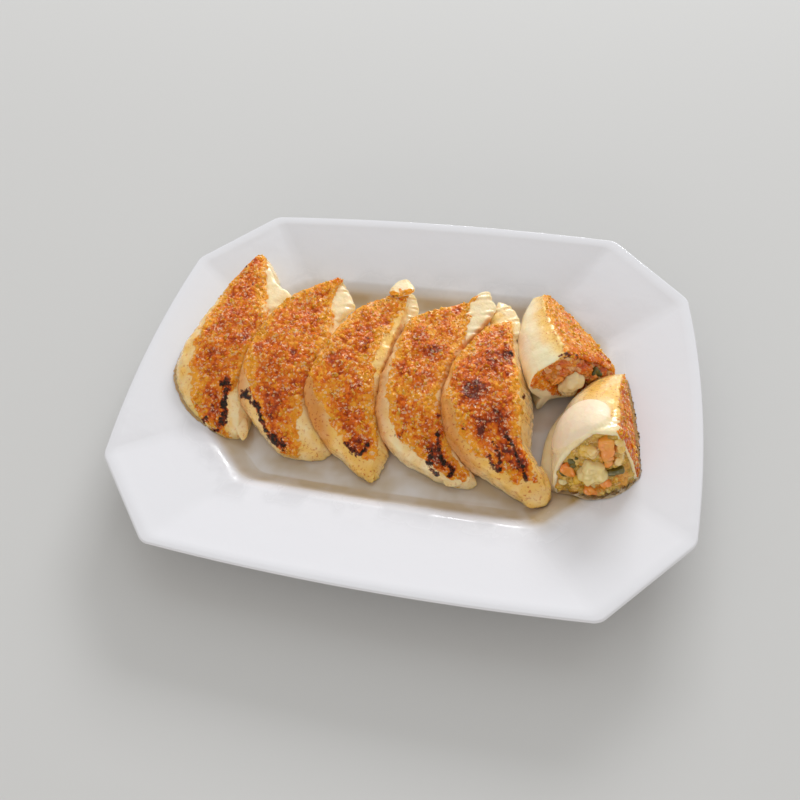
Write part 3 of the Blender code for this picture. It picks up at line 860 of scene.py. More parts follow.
def shader(name, constants):
    """A new material and its Principled shader, with the values that are the same all over."""
    made = bpy.data.materials.new(name)
    made.use_nodes = True
    principled = made.node_tree.nodes["Principled BSDF"]
    for socket, value in (GLOSS | constants).items():
        principled.inputs[socket].default_value = value
    return made, made.node_tree, principled


def feed(principled, sources):
    """Links wires to the shader's sockets."""
    for socket, source in sources.items():
        source.tree.links.new(source.socket, principled.inputs[socket])


def bump(principled, height, millimetres, normal=None):
    """Tiny relief on the surface, or on another normal."""
    inputs = {"Height": height, "Distance": millimetres * MM}
    if normal:
        inputs["Normal"] = normal
    feed(principled, {"Normal": wire(height.tree, "ShaderNodeBump", inputs, "Normal")})


def colours():
    return bpy.context.scene.gyoza_colours


def glaze_material():
    """White glaze with crisp reflections; a warm tint round its floor's edge and by the food, of a little oil
    with painted shade and painted warm reflection of the food; and a painted dark reflection on the step
    above the floor.
    """
    made, tree, principled = shader("plate_glaze", {})
    tone = colours()
    waves = speckle(tree, 22.0, 2.0)
    # Painted shade and warm reflection, with a little oil: the well's floor, its edge and the patches by the
    # food take the warm tint.
    tint_patches = climb(tree, speckle(tree, 13.0, 2.0, seed=3.0), 0.35, 0.6, "SMOOTHSTEP")
    edge = mask(tree, "edge") * (tint_patches * 0.3 + 0.7)
    floor_oil_and_shade = mask(tree, "well") * (tint_patches * 0.35 + 0.65)
    oily = edge.maths("MAXIMUM", edge, floor_oil_and_shade, clamp=True)
    # Painted reflection: the step above the floor is greyed in patches, standing in for the food's dark
    # reflection in the glaze; the same patches are rougher.
    lip_dark_reflection = mask(tree, "lip") * (1.0 - climb(tree, speckle(tree, 16.0, seed=9.0), 0.42, 0.58))
    colour = blend(tree, lip_dark_reflection * 0.6, tone.glaze, darker(tone.glaze, 0.8))
    feed(principled, {
        "Base Color": blend(tree, oily, colour, tone.stain),
        "Roughness": waves * 0.05 + 0.07 + lip_dark_reflection * 0.4})
    bump(principled, waves + speckle(tree, 8.0, 2.0, seed=5.0) * 0.7, 0.12)
    return made


def bare_dough(tree, grain, oiled):
    """The colour of dough without a crust: cream, yellow where it is soaked, pinkish where it is taut."""
    tone = colours()
    streaks = speckle(tree, 5.0, 2.0, seed=7.0)
    colour = blend(tree, streaks, tone.cream, mixed(tone.cream, tone.yellow, 0.2))
    soaked = blend(tree, grain["Coarse"], mixed(tone.yellow, tone.cream, 0.3), tone.yellow)
    colour = blend(tree, mask(tree, "soak"), colour, soaked)
    dots = climb(tree, speckle(tree, 1.0, 2.0, seed=21.0), 0.58, 0.68) * (oiled * 0.7)
    colour = blend(tree, dots, colour, mixed(tone.orange, tone.brown, 0.6))
    return blend(tree, mask(tree, "taut"), colour, blend(tree, grain["Coarse"], tone.taut, tone.cream))


def browned_dough(tree, grain, crisp):
    """The colour of the crust, by how deeply it is browned, with pale flecks of painted highlight on it."""
    tone = colours()
    depth = mask(tree, "tone") + (grain["Fine"] - 0.5) * 0.3 + (grain["Coarse"] - 0.5) * 0.45
    depth = (depth + (crisp["Shade"] - 0.5) * 0.3).clamped()
    colour = ramp(tree, depth, (
        (0.05, tone.golden), (0.40, tone.orange), (0.75, tone.brown), (1.0, tone.plum)))
    # Painted highlights: pale flecks on some facets stand in for the crust's glints.
    painted_glints = climb(tree, crisp["Small"], 0.82, 0.93) * 0.52
    return blend(tree, painted_glints, colour, tone.crystal)


def burnt(tree, colour):
    """A colour with burnt marks on it, lacy at their edges."""
    tone = colours()
    marked = mask(tree, "char")
    lace = speckle(tree, 1.6, roughness=0.6, seed=11.0) - 0.5
    depth = marked + (marked * 5.0).clamped() * (lace * 3.0)
    colour = blend(tree, climb(tree, depth, 0.42, 0.7), colour, mixed(tone.char, tone.brown, 0.35))
    return blend(tree, climb(tree, depth, 0.75, 1.0), colour, tone.char)


def dough_material():
    """Fried dough: pale and smooth where it was steamed, blistered and browned on its face."""
    made, tree, principled = shader("fried_dough", {
        "Subsurface Weight": 0.5, "Subsurface Scale": 3.0 * MM,
        "Specular IOR Level": 0.38, "Specular Tint": (1.0, 0.86, 0.66, 1.0)})
    tone = colours()
    grain = shared(tree, moist_grain, Size=0.75 * MM)
    crust = climb(tree, mask(tree, "crust") + (grain["Fine"] - 0.5) * 0.9, 0.30, 0.66, "SMOOTHSTEP")
    oiled = mask(tree, "soak") * (1.0 - crust)
    crisp = shared(tree, crisp_facets, Size=1.35 * MM, Tilt=crust * 0.54 + oiled * 0.16 + 0.02)
    colour = blend(tree, crust, bare_dough(tree, grain, oiled), browned_dough(tree, grain, crisp))
    colour = burnt(tree, colour)
    # Oil and painted shade: the gaps beside the next dumpling are darkened by multiplying in this colour.
    oily = mixed(tone.amber, tone.orange, 0.3)
    taut = mask(tree, "taut")
    feed(principled, {
        "Base Color": blend(tree, mask(tree, "oil") * 0.75, colour, oily, "MULTIPLY"),
        "Coat Weight": (0.35 - (crust * 0.6 + taut * 0.5) * 0.55).clamped(),
        "Roughness": taut * 0.4 + grain["Fine"] * 0.12 + 0.03})
    dimples = speckle(tree, 2.6, 2.5, seed=2.0) * (crust * 0.6 + 0.9)
    bump(principled, grain["Height"] * (crust * 0.7 + 0.05) + dimples, 0.4, crisp["Normal"])
    return made


def mince_material():
    """Chopped filling: deep orange-brown, or with yellow-green and peach bits where it is leafy."""
    made, tree, principled = shader("mince", {
        "Subsurface Weight": 0.5, "Subsurface Scale": 4.0 * MM, "Coat Weight": 0.7})
    tone = colours()
    grain = shared(tree, moist_grain, Size=1.0 * MM)
    places = {"Vector": place_on_piece(tree), "Scale": 1.0 / (2.2 * MM)}
    cells = wire(tree, "ShaderNodeTexVoronoi", places, "Color")
    shade = wire(tree, "ShaderNodeSeparateColor", {0: cells})
    lumps = climb(tree, grain["Coarse"], 0.4, 0.65) * 0.3
    crumbs = ramp(tree, shade, (
        (0.0, mixed(tone.orange, tone.brown, 0.3)), (0.2, tone.orange), (0.45, tone.mince),
        (0.7, tone.golden), (1.0, mixed(tone.golden, tone.cream, 0.5))))
    fried = blend(tree, lumps, crumbs, mixed(tone.orange, tone.brown, 0.6))
    leafy = ramp(tree, shade, (
        (0.0, mixed(tone.egg, tone.green, 0.35)), (0.25, tone.egg), (0.5, mixed(tone.prawn, tone.egg, 0.5)),
        (0.7, mixed(tone.carrot, tone.egg, 0.6)), (0.85, tone.egg), (1.0, tone.prawn)))
    colour = blend(tree, mask(tree, "leafy"), fried, leafy)
    deeper = blend(tree, 0.5, colour, tone.orange, "MULTIPLY")
    feed(principled, {
        "Base Color": blend(tree, grain["Fine"] * 0.5, colour, deeper),
        "Roughness": grain["Fine"] * 0.2 + 0.12})
    bump(principled, grain["Height"], 0.8)
    return made


def moist_material(name, base, second, size, bumpiness, subsurface):
    """A moist piece of food in two mottled colours."""
    made, tree, principled = shader(name, {
        "Subsurface Weight": subsurface, "Subsurface Scale": 3.0 * MM, "Coat Weight": 0.8})
    grain = shared(tree, moist_grain, Size=size * MM)
    colour = blend(tree, climb(tree, grain["Coarse"], 0.38, 0.62), base, second)
    deeper = blend(tree, grain["Fine"], colour, darker(base, 0.72))
    feed(principled, {
        "Base Color": blend(tree, 0.4, colour, deeper),
        "Roughness": grain["Fine"] * 0.2 + 0.1})
    bump(principled, grain["Height"], bumpiness)
    return made


def material(name):
    """A finish by name, made the first time that a piece asks for it."""
    if name in bpy.data.materials:
        return bpy.data.materials[name]
    own = {"plate_glaze": glaze_material, "fried_dough": dough_material, "mince": mince_material}
    if name in own:
        return own[name]()
    tone = colours()
    recipes = {
        "prawn_flesh": (tone.prawn, mixed(tone.prawn, tone.cream, 0.6), 2.5, 0.25, 0.4),
        "carrot": (tone.carrot, mixed(tone.carrot, tone.egg, 0.6), 1.3, 0.2, 0.35),
        "chive": (tone.green, mixed(tone.green, tone.egg, 0.2), 1.0, 0.1, 0.1),
        "cabbage": (tone.egg, mixed(tone.egg, tone.cream, 0.6), 1.0, 0.2, 0.35),
    }
    return moist_material(name, *recipes[name])


# --- Plate --------------------------------------------------------------------------------------


def octagon_corners(level):
    x, y = level.half_length, level.half_width
    cut_x, cut_y = level.corner_x, level.corner_y
    return np.array([
        (x, -y + cut_y), (x, y - cut_y), (x - cut_x, y), (-x + cut_x, y),
        (-x, y - cut_y), (-x, -y + cut_y), (-x + cut_x, -y), (x - cut_x, -y)])


def octagon(level, bow_share, radius):
    """One level's outline, anticlockwise, with bowed main sides and rounded corners."""
    corners = octagon_corners(level)
    outline = []
    for index, corner in enumerate(corners):
        before = corners[index - 1] - corner
        before = before / np.linalg.norm(before) * radius
        ahead = corners[(index + 1) % 8] - corner
        forward = ahead / np.linalg.norm(ahead)
        after = forward * radius
        arc = (corner + before, corner + before * 0.4, corner + after * 0.4, corner + after)
        outline.append(bezier(arc, CORNER_STEPS))
        side = 0.0
        if index % 2 == 0:
            side = SHORT_SIDE_BOW if index % 4 == 0 else LONG_SIDE_BOW
        outward = np.array((forward[1], -forward[0])) * side * bow_share
        share = (np.arange(SIDE_STEPS) / SIDE_STEPS)[:, None]
        outline.append(corner + mix(after, ahead - after, share) + outward * 4.0 * share * (1.0 - share))
    flat = np.vstack(outline)
    return np.column_stack([flat, np.full(len(flat), level.height)])


def between(first, last, share):
    """An octagon part of the way from one level to another."""
    return Level(*(mix(a, b, share) for a, b in zip(first, last)))


def inset(level, distance, height):
    return level._replace(
        half_length=level.half_length - distance, half_width=level.half_width - distance, height=height)


def well_ring(level):
    return octagon(level, WELL_BOW, WELL_CORNER)


def flat_rings(level, shares):
    """Rings across a flat part, each a share of its outline."""
    return [well_ring(level) * (share, share, 1.0) for share in shares]


def underside_rings():
    """From the middle of the plate's underside, over its foot, to its lip."""
    hollow = inset(FOOT, FOOT_WIDTH, FOOT_RECESS)
    foot = (hollow, inset(FOOT, FOOT_WIDTH - 0.3, 0.3), inset(FOOT, FOOT_WIDTH - 0.8, 0.0),
            inset(FOOT, 0.6, 0.0), inset(FOOT, 0.0, 0.5))
    below_well = inset(WELL_EDGE, -0.4, WELL_EDGE.height - WALL - 0.6)
    below_rim = inset(RIM, 1.0, RIM.height - LIP_THICKNESS)
    wall = (between(FOOT, below_well, share) for share in (0.3, 0.7, 0.92))
    rings = flat_rings(hollow, (0.05, 0.5, 0.97))
    rings += [well_ring(level) for level in (*foot, *wall)]
    for share in (0.03, 0.15, 0.5, 0.85, 0.98):
        rings.append(octagon(
            between(below_well, below_rim, share),
            mix(WELL_BOW, 1.0, share), mix(WELL_CORNER, RIM_CORNER, share)))
    return rings


def lip_rings():
    """Round the plate's lip, from below to above."""
    lip = 0.5 * LIP_THICKNESS
    rings = []
    for degrees in range(-80, 81, 20):
        angle = math.radians(degrees)
        level = inset(RIM, lip - lip * math.cos(angle), RIM.height - lip + lip * math.sin(angle))
        rings.append(octagon(level, 1.0, RIM_CORNER))
    return rings


def upper_rings():
    """From the lip down the flange and the two bends of the well to the middle of its floor."""
    rings = []
    for step in range(1, FLANGE_STEPS + 1):
        share = mix(0.04, BEND_FROM, step / FLANGE_STEPS)
        rings.append(octagon(
            between(RIM, WELL_EDGE, share), mix(1.0, WELL_BOW, share), mix(RIM_CORNER, WELL_CORNER, share)))
    start = between(RIM, WELL_EDGE, BEND_FROM)
    half_way = between(WELL_EDGE, FLOOR_EDGE, 0.5)
    floor = inset(FLOOR_EDGE, 3.0, FLOOR_EDGE.height)
    for bend in ((start, WELL_EDGE, half_way), (half_way, FLOOR_EDGE, floor)):
        first, corner, last = (np.array(level) for level in bend)
        for step in range(1, BEND_STEPS + 1):
            t = step / BEND_STEPS
            level = (1 - t) ** 2 * first + 2 * t * (1 - t) * corner + t * t * last
            rings.append(well_ring(Level(*level)))
    return rings + flat_rings(floor, np.linspace(0.96, 0.03, FLOOR_STEPS))


def plate_height(points):
    """The height of the plate's upper side under points, in millimetres."""
    highest = np.full(len(points), FLOOR_EDGE.height)
    levels = [octagon_corners(level) for level in (FLOOR_EDGE, WELL_EDGE, RIM)]
    for side in range(8):
        start, end = levels[2][side], levels[2][(side + 1) % 8]
        outward = np.array((end[1] - start[1], start[0] - end[0]))
        outward /= np.linalg.norm(outward)
        reach = points[:, :2] @ outward
        distances = [corners[side] @ outward for corners in levels]
        heights = (FLOOR_EDGE.height, WELL_EDGE.height, RIM.height)
        highest = np.maximum(highest, np.interp(reach, distances, heights))
    return highest


def paint_plate(made):
    """Stores where the floor takes its warm tint, a little oil with painted shade and warm reflection of the
    food, round its edge and beside the food, and where a painted dark reflection lies on the step above it.
    """
    points = corners_of(made.data)
    upper = normals_of(made.data)[:, 2] > 0.2
    above = points[:, 2] - FLOOR_EDGE.height
    # Painted shade and warm reflection, with a little oil: strongest in a patch at the cut dumpling's end,
    # beside each whole dumpling and in a line round the floor's edge.
    shaded_pool = smooth(20.0, 9.0, np.hypot(points[:, 0] - SHADED_POOL_MIDDLE[0], points[:, 1] - SHADED_POOL_MIDDLE[1]))
    near = shaded_pool
    for shape in WHOLES:
        share = local_places(shape, points)[0]
        beside = smooth(-13.0, -2.0, crust_outline(shape, points))
        near = np.maximum(near, beside * smooth(-0.14, 0.0, share) * smooth(1.12, 1.0, share))
    line = np.maximum(EDGE_OIL_AND_SHADE * smooth(5.5, 2.5, above), POOL_OIL_AND_SHADE * shaded_pool * smooth(7.5, 5.0, above))
    set_mask(made.data, "well", upper * smooth(3.0, 0.5, above) * (FLOOR_OIL_AND_SHADE + OIL_AND_SHADE_BY_FOOD * near))
    # Painted reflection: where the step above the floor is greyed.
    set_mask(made.data, "lip", upper * smooth(3.0, 5.0, above) * smooth(9.5, 6.6, above))
    set_mask(made.data, "edge", upper * smooth(0.02, 0.5, above) * line)


class GYOZA_OT_plate(bpy.types.Operator):
    """Makes the glazed octagonal plate"""

    bl_idname = "gyoza.plate"
    bl_label = "Plate"

    def execute(self, context):
        rings = np.array(underside_rings() + lip_rings() + upper_rings())
        made = solid_from_rings("plate_glazed", rings)
        paint_plate(made)
        finish_piece(made, material("plate_glaze"), "porcelain", "plate")
        return {"FINISHED"}


# --- Whole dumplings ----------------------------------------------------------------------------


def axis_of(shape):
    """The tail, the length and the unit directions along and to the right of a dumpling."""
    tail, head = np.array(shape.tail[:2]), np.array(shape.head[:2])
    line = head - tail
    length = np.linalg.norm(line)
    along = line / length
    return tail, length, along, np.array((along[1], -along[0]))


def face_level(shape, share):
    if share < HIGHEST_AT:
        return mix(shape.tail[2], shape.face_height, bow(share, HIGHEST_AT, (0.8, 1.0)))
    return mix(shape.head[2], shape.face_height, bow(share, HIGHEST_AT, (1.0, 1.0)))


def whole_section(shape, share, left, right, sizes):
    """The outline across a gyoza, as distances to the right of its line and heights."""
    swell = bow(mix(0.03, 0.97, share), 0.5, (0.6, 0.6))
    width = right - left
    height = face_level(shape, share)
    lean = 0.5 * width * math.tan(math.radians(shape.tilt))
    floor = FLOOR_EDGE.height - 1.5
    bottom = max(height - mix(TIP_THICKNESS, BODY_DEPTH, swell), floor)
    body = height - bottom
    left_edge = (left, height + lean)
    right_edge = (right, height - lean)
    reach = right + shape.reach * swell
    crest = (reach, bottom + 0.22 * body)
    foot = (left + 0.22 * width, bottom)
    belly = shape.belly * swell
    face = bezier((left_edge, (mix(left, right, 0.33), left_edge[1]),
                   (mix(left, right, 0.67), right_edge[1]), right_edge), FACE_STEPS)
    across = np.arange(FACE_STEPS) / FACE_STEPS
    face[:, 1] += sizes.crown / MM * 4.0 * across * (1.0 - across) * swell
    side_right = bezier((right_edge, (right + 2.0 * swell, height - 0.25 * body),
                         (reach + 0.5, bottom + 0.55 * body), crest), RIGHT_STEPS)
    under = bezier((crest, (reach - 0.5, bottom + 0.05 * body), (reach - 0.2 * width, bottom), foot),
                   UNDER_STEPS)
    side_left = bezier((foot, (left - 0.4 * belly, bottom), (left - 1.55 * belly, height - 0.42 * body),
                        left_edge), LEFT_STEPS)
    return np.vstack([face, side_right, under, side_left])


def whole_rings(shape, sizes):
    """All cross-sections of a gyoza in space, with rounded ends."""
    tail, length, along, across = axis_of(shape)
    even = np.linspace(0.0, 1.0, STATIONS)
    shares = mix(even, 0.5 - 0.5 * np.cos(math.pi * even), 0.6)
    lefts = -eased(OUTLINE_SHARES, shape.left, shares)
    rights = eased(OUTLINE_SHARES, shape.right, shares)
    rings = []
    for share, left, right in zip(shares, lefts, rights):
        ragged = [sum(
            depth * noise.noise(Vector((share * waves, shape.tone * 50.0, side)))
            for depth, waves in RAGGED) for side in (0.0, 9.0)]
        section = whole_section(shape, share, left + ragged[0], right + ragged[1], sizes)
        nearest_end = min(share, 1.0 - share) * length
        closing = math.sqrt(max(1.0 - max(1.0 - nearest_end / END_ROUNDING, 0.0) ** 2, 0.003))
        centre = section.mean(axis=0)
        section = centre + (section - centre) * closing
        plan = tail + along * share * length + across * section[:, :1]
        rings.append(np.column_stack([plan, section[:, 1]]))
    return relaxed(np.array(rings), 3)


def closed_curve(points, count):
    """An array of count points along a smooth closed curve through a few points."""
    points = np.array(points, float)
    at = np.arange(count) * len(points) / count
    index = at.astype(int)
    t = (at - index)[:, None]
    a, b, c, d = (points[(index + step) % len(points)] for step in (-1, 0, 1, 2))
    square = 2 * a - 5 * b + 4 * c - d
    cube = 3 * b - a - 3 * c + d
    return 0.5 * (2 * b + (c - a) * t + square * t * t + cube * t ** 3)


def leaf_rings(shape, leaf):
    """A rounded sheet with pleats towards its edge, as rings from its top's middle to its underside's."""
    tail, length, along, across = axis_of(shape)
    outline = closed_curve(leaf.outline, LEAF_STEPS) * (length, 1.0)
    centre = outline.mean(axis=0)
    start, end = outline[:, 0].min(), outline[:, 0].max()
    rings = []
    scales = np.sin(0.5 * math.pi * np.linspace(0.04, 1.0, LEAF_LEVELS))
    for side, order in ((1.0, scales), (-1.0, scales[-2::-1])):
        for scale in order:
            flat = centre + (outline - centre) * scale
            fold = leaf.pleats * math.pi * (flat[:, 0] - start - 0.3 * flat[:, 1]) / (end - start)
            wave = leaf.ripple * scale ** 2 * np.sin(fold + 1.2 * np.sin(1.7 * fold)) ** 2
            height = leaf.height + (flat - centre) @ np.array(leaf.rise) + wave
            height += side * 0.5 * leaf.thickness * math.sqrt(max(1.0 - scale ** 4, 0.0))
            plan = tail + flat[:, :1] * along + flat[:, 1:] * across
            rings.append(np.column_stack([plan, height]))
    return np.array(rings)


def local_places(shape, points):
    """Each point's share along a dumpling and its distance to the right of the line."""
    tail, length, along, across = axis_of(shape)
    rest = points[:, :2] - tail
    return rest @ along / length, rest @ across


def crust_outline(shape, points):
    """How far inside the face's outline points lie, in millimetres."""
    share, place = local_places(shape, points)
    left, right = (eased(OUTLINE_SHARES, values, share) for values in (shape.left, shape.right))
    return np.minimum(place + left, right - place)


def crust_depth(shape, points):
    """How far inside the browned crust's outline points lie, in millimetres."""
    length = axis_of(shape)[1]
    share, place = local_places(shape, points)
    left, right, bare_left, bare_right = (
        eased(OUTLINE_SHARES, values, share)
        for values in (shape.left, shape.right, shape.bare_left, shape.bare_right))
    inside = np.minimum(place + left - bare_left, right - bare_right - place)
    start, end = shape.crust_ends
    ends = np.minimum(share - start, end - share) * length + 0.6
    return np.minimum(inside, ends)


def distance_to_path(flat, path):
    """How far flat points lie from a broken line."""
    nearest = np.full(len(flat), np.inf)
    for start, end in zip(path, path[1:]):
        line = end - start
        share = np.clip((flat - start) @ line / (line @ line), 0.0, 1.0)
        nearest = np.minimum(nearest, np.linalg.norm(flat - start - share[:, None] * line, axis=1))
    return nearest


def spot_mask(shape, points, kind):
    """How strongly a kind of mark shows at each point, with ragged edges."""
    length = axis_of(shape)[1]
    share, place = local_places(shape, points)
    ragged = layered(points, (0.55, 1.6, 5.0), (0.35, 4.0, 9.0))
    found = np.zeros(len(points))
    for spot in shape.spots:
        if spot.kind != kind:
            continue
        if isinstance(spot, Streak):
            flat = np.column_stack([share * length, place])
            reach = distance_to_path(flat, np.array(spot.path) * (length, 1.0)) / spot.width
        else:
            along = (share - spot.share) * length / spot.along_size
            reach = np.hypot(along, (place - spot.across) / spot.across_size)
        found = np.maximum(found, smooth(0.0, 1.3, 1.35 - reach + ragged) * spot.strength)
    return found


def below_face(points, shape):
    """How far points lie under the browned face's level, in millimetres."""
    share, place = local_places(shape, points)
    levels = eased(OUTLINE_SHARES, [face_level(shape, knot) for knot in OUTLINE_SHARES], share)
    middle = 0.5 * (eased(OUTLINE_SHARES, shape.right, share) - eased(OUTLINE_SHARES, shape.left, share))
    lean = (middle - place) * math.tan(math.radians(shape.tilt))
    return levels + lean - points[:, 2]


def crust_blisters(points, sizes, seed):
    """The relief of the browned crust from 0 to about 1: large blisters with small ones on them."""
    size = sizes.pebble_size / MM
    return 0.75 * pebbled(points, size, seed) + 0.35 * pebbled(points, 0.5 * size, seed + 9.0)


def roughen_whole(made, shape, sizes):
    """Warps the crust, raises its blisters and folds the dough, then rests it on the plate."""
    mesh = made.data
    points, normals = corners_of(mesh), normals_of(mesh)
    top = smooth(3.0, 1.0, below_face(points, shape)) * smooth(-0.1, 0.4, normals[:, 2])
    crust = smooth(-0.8, 1.2, crust_depth(shape, points)) * top
    char = spot_mask(shape, points, "char")
    seed = shape.tone * 40.0
    warp = layered(points, (1.0, 9.0, seed), (0.45, 4.0, seed))
    patch = np.clip(0.75 + 1.1 * perlin(points, 7.0, seed), 0.15, 1.3)
    pebbles = crust_blisters(points, sizes, seed)
    folds = perlin(points * (1.0, 1.0, 0.5), 6.0, seed + 3.0) + 0.6 * perlin(points, 2.6, seed + 4.0)
    folds *= sizes.wrinkle_height / MM
    rise = crust * (warp * sizes.warp_height / MM + pebbles * patch * sizes.pebble_height / MM)
    rise += (1.0 - crust) * folds + 0.3 * crust * char * perlin(points, 1.0, 7.0)
    points += normals * rise[:, None]
    points[:, 2] = np.maximum(points[:, 2], plate_height(points) + CLEARANCE)
    set_corners(mesh, points)


def near_neighbour(neighbour, points, reach):
    """1 where points lie right beside another dumpling's outline, 0 at a reach from it."""
    if neighbour is None:
        return np.zeros(len(points))
    share = local_places(neighbour, points)[0]
    beside = smooth(-reach, -0.6, crust_outline(neighbour, points))
    return beside * smooth(-0.03, 0.03, share) * smooth(1.0, 0.9, share)


def paint_whole(made, shape, before, after, sizes):
    """Stores where the dough is crusted, how deeply it is browned and where it is burnt, with painted light
    and shade in its colour: paler blister tops and darker hollows, darker gaps beside the next dumpling and
    paler lower bellies.
    """
    mesh = made.data
    points, normals = corners_of(mesh), normals_of(mesh)
    share, place = local_places(shape, points)
    depth = crust_depth(shape, points) + layered(points, (2.2, 4.0, 2.0), (1.2, 1.4, 4.0))
    top = smooth(3.4, 1.4, below_face(points, shape)) * smooth(-0.2, 0.3, normals[:, 2])
    crust = smooth(-1.4, 0.7, depth) * top
    brown, char, pale = (spot_mask(shape, points, kind) for kind in ("brown", "char", "pale"))
    patches = layered(points, (0.34, 8.0, 6.0), (0.2, 3.6, 1.0))
    tone = shape.tone + patches - 0.42 * smooth(6.0, -1.0, depth) + 0.5 * brown
    # Painted light and shade: the tops of the crust's blisters are paler and the hollows between them darker.
    tone -= 0.35 * (crust_blisters(points, sizes, shape.tone * 40.0) - 0.45)
    beyond = smooth(0.0, 2.0, place - eased(OUTLINE_SHARES, shape.right, share))
    fin = np.maximum(smooth(0.55, 0.7, share) * beyond, smooth(0.97, 1.0, share) * (crust < 0.5))
    upper = smooth(12.0, 0.0, below_face(points, shape))
    # Partly painted light: the dough is less soaked and paler towards the bottom of the belly, which stands
    # in for light bounced up from the white plate.
    soak = shape.soak * (0.25 + 0.75 * upper) + 0.45 * perlin(points, 4.0, 12.0)
    soak *= 1.0 - np.maximum(0.7 * fin, 0.95 * pale)
    bare = 1.0 - crust
    # Oil and painted shade: beside the next dumpling's outline the dough is marked darker and more soaked.
    beside = np.maximum(near_neighbour(after, points, 3.4), 0.85 * bare * near_neighbour(before, points, 7.0))
    beside *= 1.0 - 0.9 * pale
    set_mask(mesh, "crust", crust)
    set_mask(mesh, "tone", np.maximum(tone, 0.85 * char))
    set_mask(mesh, "char", char * smooth(0.0, 0.4, normals[:, 2]))
    set_mask(mesh, "soak", np.maximum(soak, 0.8 * beside))
    set_mask(mesh, "oil", beside)


def make_whole(shape, sizes):
    made = solid_from_rings(shape.name + "_dough", whole_rings(shape, sizes))
    roughen_whole(made, shape, sizes)
    for leaf in shape.leaves:
        sheet = solid_from_rings("sheet", leaf_rings(shape, leaf))
        carve(made, sheet, "UNION")
        bpy.data.objects.remove(sheet)
    return made


class GYOZA_OT_wholes(bpy.types.Operator):
    """Makes the five whole gyoza, each cut back where the next one lies on it"""

    bl_idname = "gyoza.wholes"
    bl_label = "Whole gyoza"

    def execute(self, context):
        sizes = context.scene.gyoza_sizes
        made = [make_whole(shape, sizes) for shape in WHOLES]
        for under, over in zip(made, made[1:]):
            carve(under, over, "DIFFERENCE")
        for piece, shape, before, after in zip(made, WHOLES, (None, *WHOLES), (*WHOLES[1:], None)):
            drop_specks(piece)
            paint_whole(piece, shape, before, after, sizes)
            finish_piece(piece, material("fried_dough"), "browned_dough", shape.name)
        return {"FINISHED"}


# --- Crisp flakes -------------------------------------------------------------------------------
FLAKE_SHAPE = (1.0, 0.75, 0.28)
FULL_TURN = 6.28
# More faces than this are too many for one piece.
MOST_FACES = 200000


def flake_tree():
    """A node group that strews small flattened flakes wherever the host mesh is browned."""
    tree = bpy.data.node_groups.new("crisp_flakes", "GeometryNodeTree")
    tree.is_modifier = True
    numbers = {"Density": "Float", "Size": "Float", "Seed": "Int"}
    for name, kind in {"Geometry": "Geometry", **numbers, "Material": "Material"}.items():
        tree.interface.new_socket(name, in_out="INPUT", socket_type="NodeSocket" + kind)
    tree.interface.new_socket("Geometry", in_out="OUTPUT", socket_type="NodeSocketGeometry")
    given = wires(tree, "NodeGroupInput")
    browned, tone = (
        wire(tree, "GeometryNodeInputNamedAttribute", {"Name": name}, data_type="FLOAT")
        for name in ("crust", "tone"))
    chosen = wire(tree, "FunctionNodeCompare", {0: browned, 1: 0.7}, operation="GREATER_THAN")
    spread = wire(tree, "GeometryNodeDistributePointsOnFaces", {
        "Mesh": given["Geometry"], "Selection": chosen, "Density": given["Density"], "Seed": given["Seed"]})
    ball = wire(tree, "GeometryNodeMeshIcoSphere", {"Radius": 1.0, "Subdivisions": 2})
    flake = wire(tree, "GeometryNodeTransform", {"Geometry": ball, "Scale": FLAKE_SHAPE})
    turns = {0: (0.0, 0.0, 0.0), 1: (FULL_TURN, FULL_TURN, FULL_TURN)}
    turn = wire(tree, "FunctionNodeRandomValue", turns, data_type="FLOAT_VECTOR")
    share = wire(tree, "FunctionNodeRandomValue", {2: 0.45, 3: 1.15}, 1, data_type="FLOAT")
    placed = wire(tree, "GeometryNodeInstanceOnPoints", {
        "Points": spread, "Instance": flake, "Rotation": turn, "Scale": share * given["Size"]})
    real = wire(tree, "GeometryNodeRealizeInstances", {0: placed})
    paler = wire(tree, "GeometryNodeStoreNamedAttribute", {
        "Geometry": real, "Name": "tone", "Value": tone - 0.35}, data_type="FLOAT")
    done = wire(tree, "GeometryNodeSetMaterial", {"Geometry": paler, "Material": given["Material"]})
    add(tree, "NodeGroupOutput", {"Geometry": done})
    return tree


def joined(name, pieces):
    """One object in place of several."""
    with bpy.context.temp_override(
            active_object=pieces[0], object=pieces[0], selected_editable_objects=pieces,
            selected_objects=pieces):
        bpy.ops.object.join()
    pieces[0].name = name
    return pieces[0]


class GYOZA_OT_flakes(bpy.types.Operator):
    """Strews crisp flakes of batter over the browned faces"""

    bl_idname = "gyoza.flakes"
    bl_label = "Crisp flakes"

    def execute(self, context):
        sizes = context.scene.gyoza_sizes
        tree = flake_tree()
        made = []
        for number, shape in enumerate(WHOLES + HALVES):
            host = linked("flakes", bpy.data.objects[shape.name + "_dough"].data.copy())
            strew = host.modifiers.new("strew", "NODES")
            strew.node_group = tree
            values = {"Density": sizes.flake_density, "Size": sizes.flake_size, "Seed": number,
                      "Material": material("fried_dough")}
            for socket in tree.interface.items_tree:
                if socket.in_out == "INPUT" and socket.name in values:
                    strew[socket.identifier] = values[socket.name]
            made.append(plain_mesh(host))
        piece = joined("crisp_flakes", made)
        if not 0 < len(piece.data.polygons) < MOST_FACES:
            raise RuntimeError(f"{len(piece.data.polygons)} faces of flakes")
        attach(piece, BODY)
        return {"FINISHED"}


# --- The cut dumpling ---------------------------------------------------------------------------


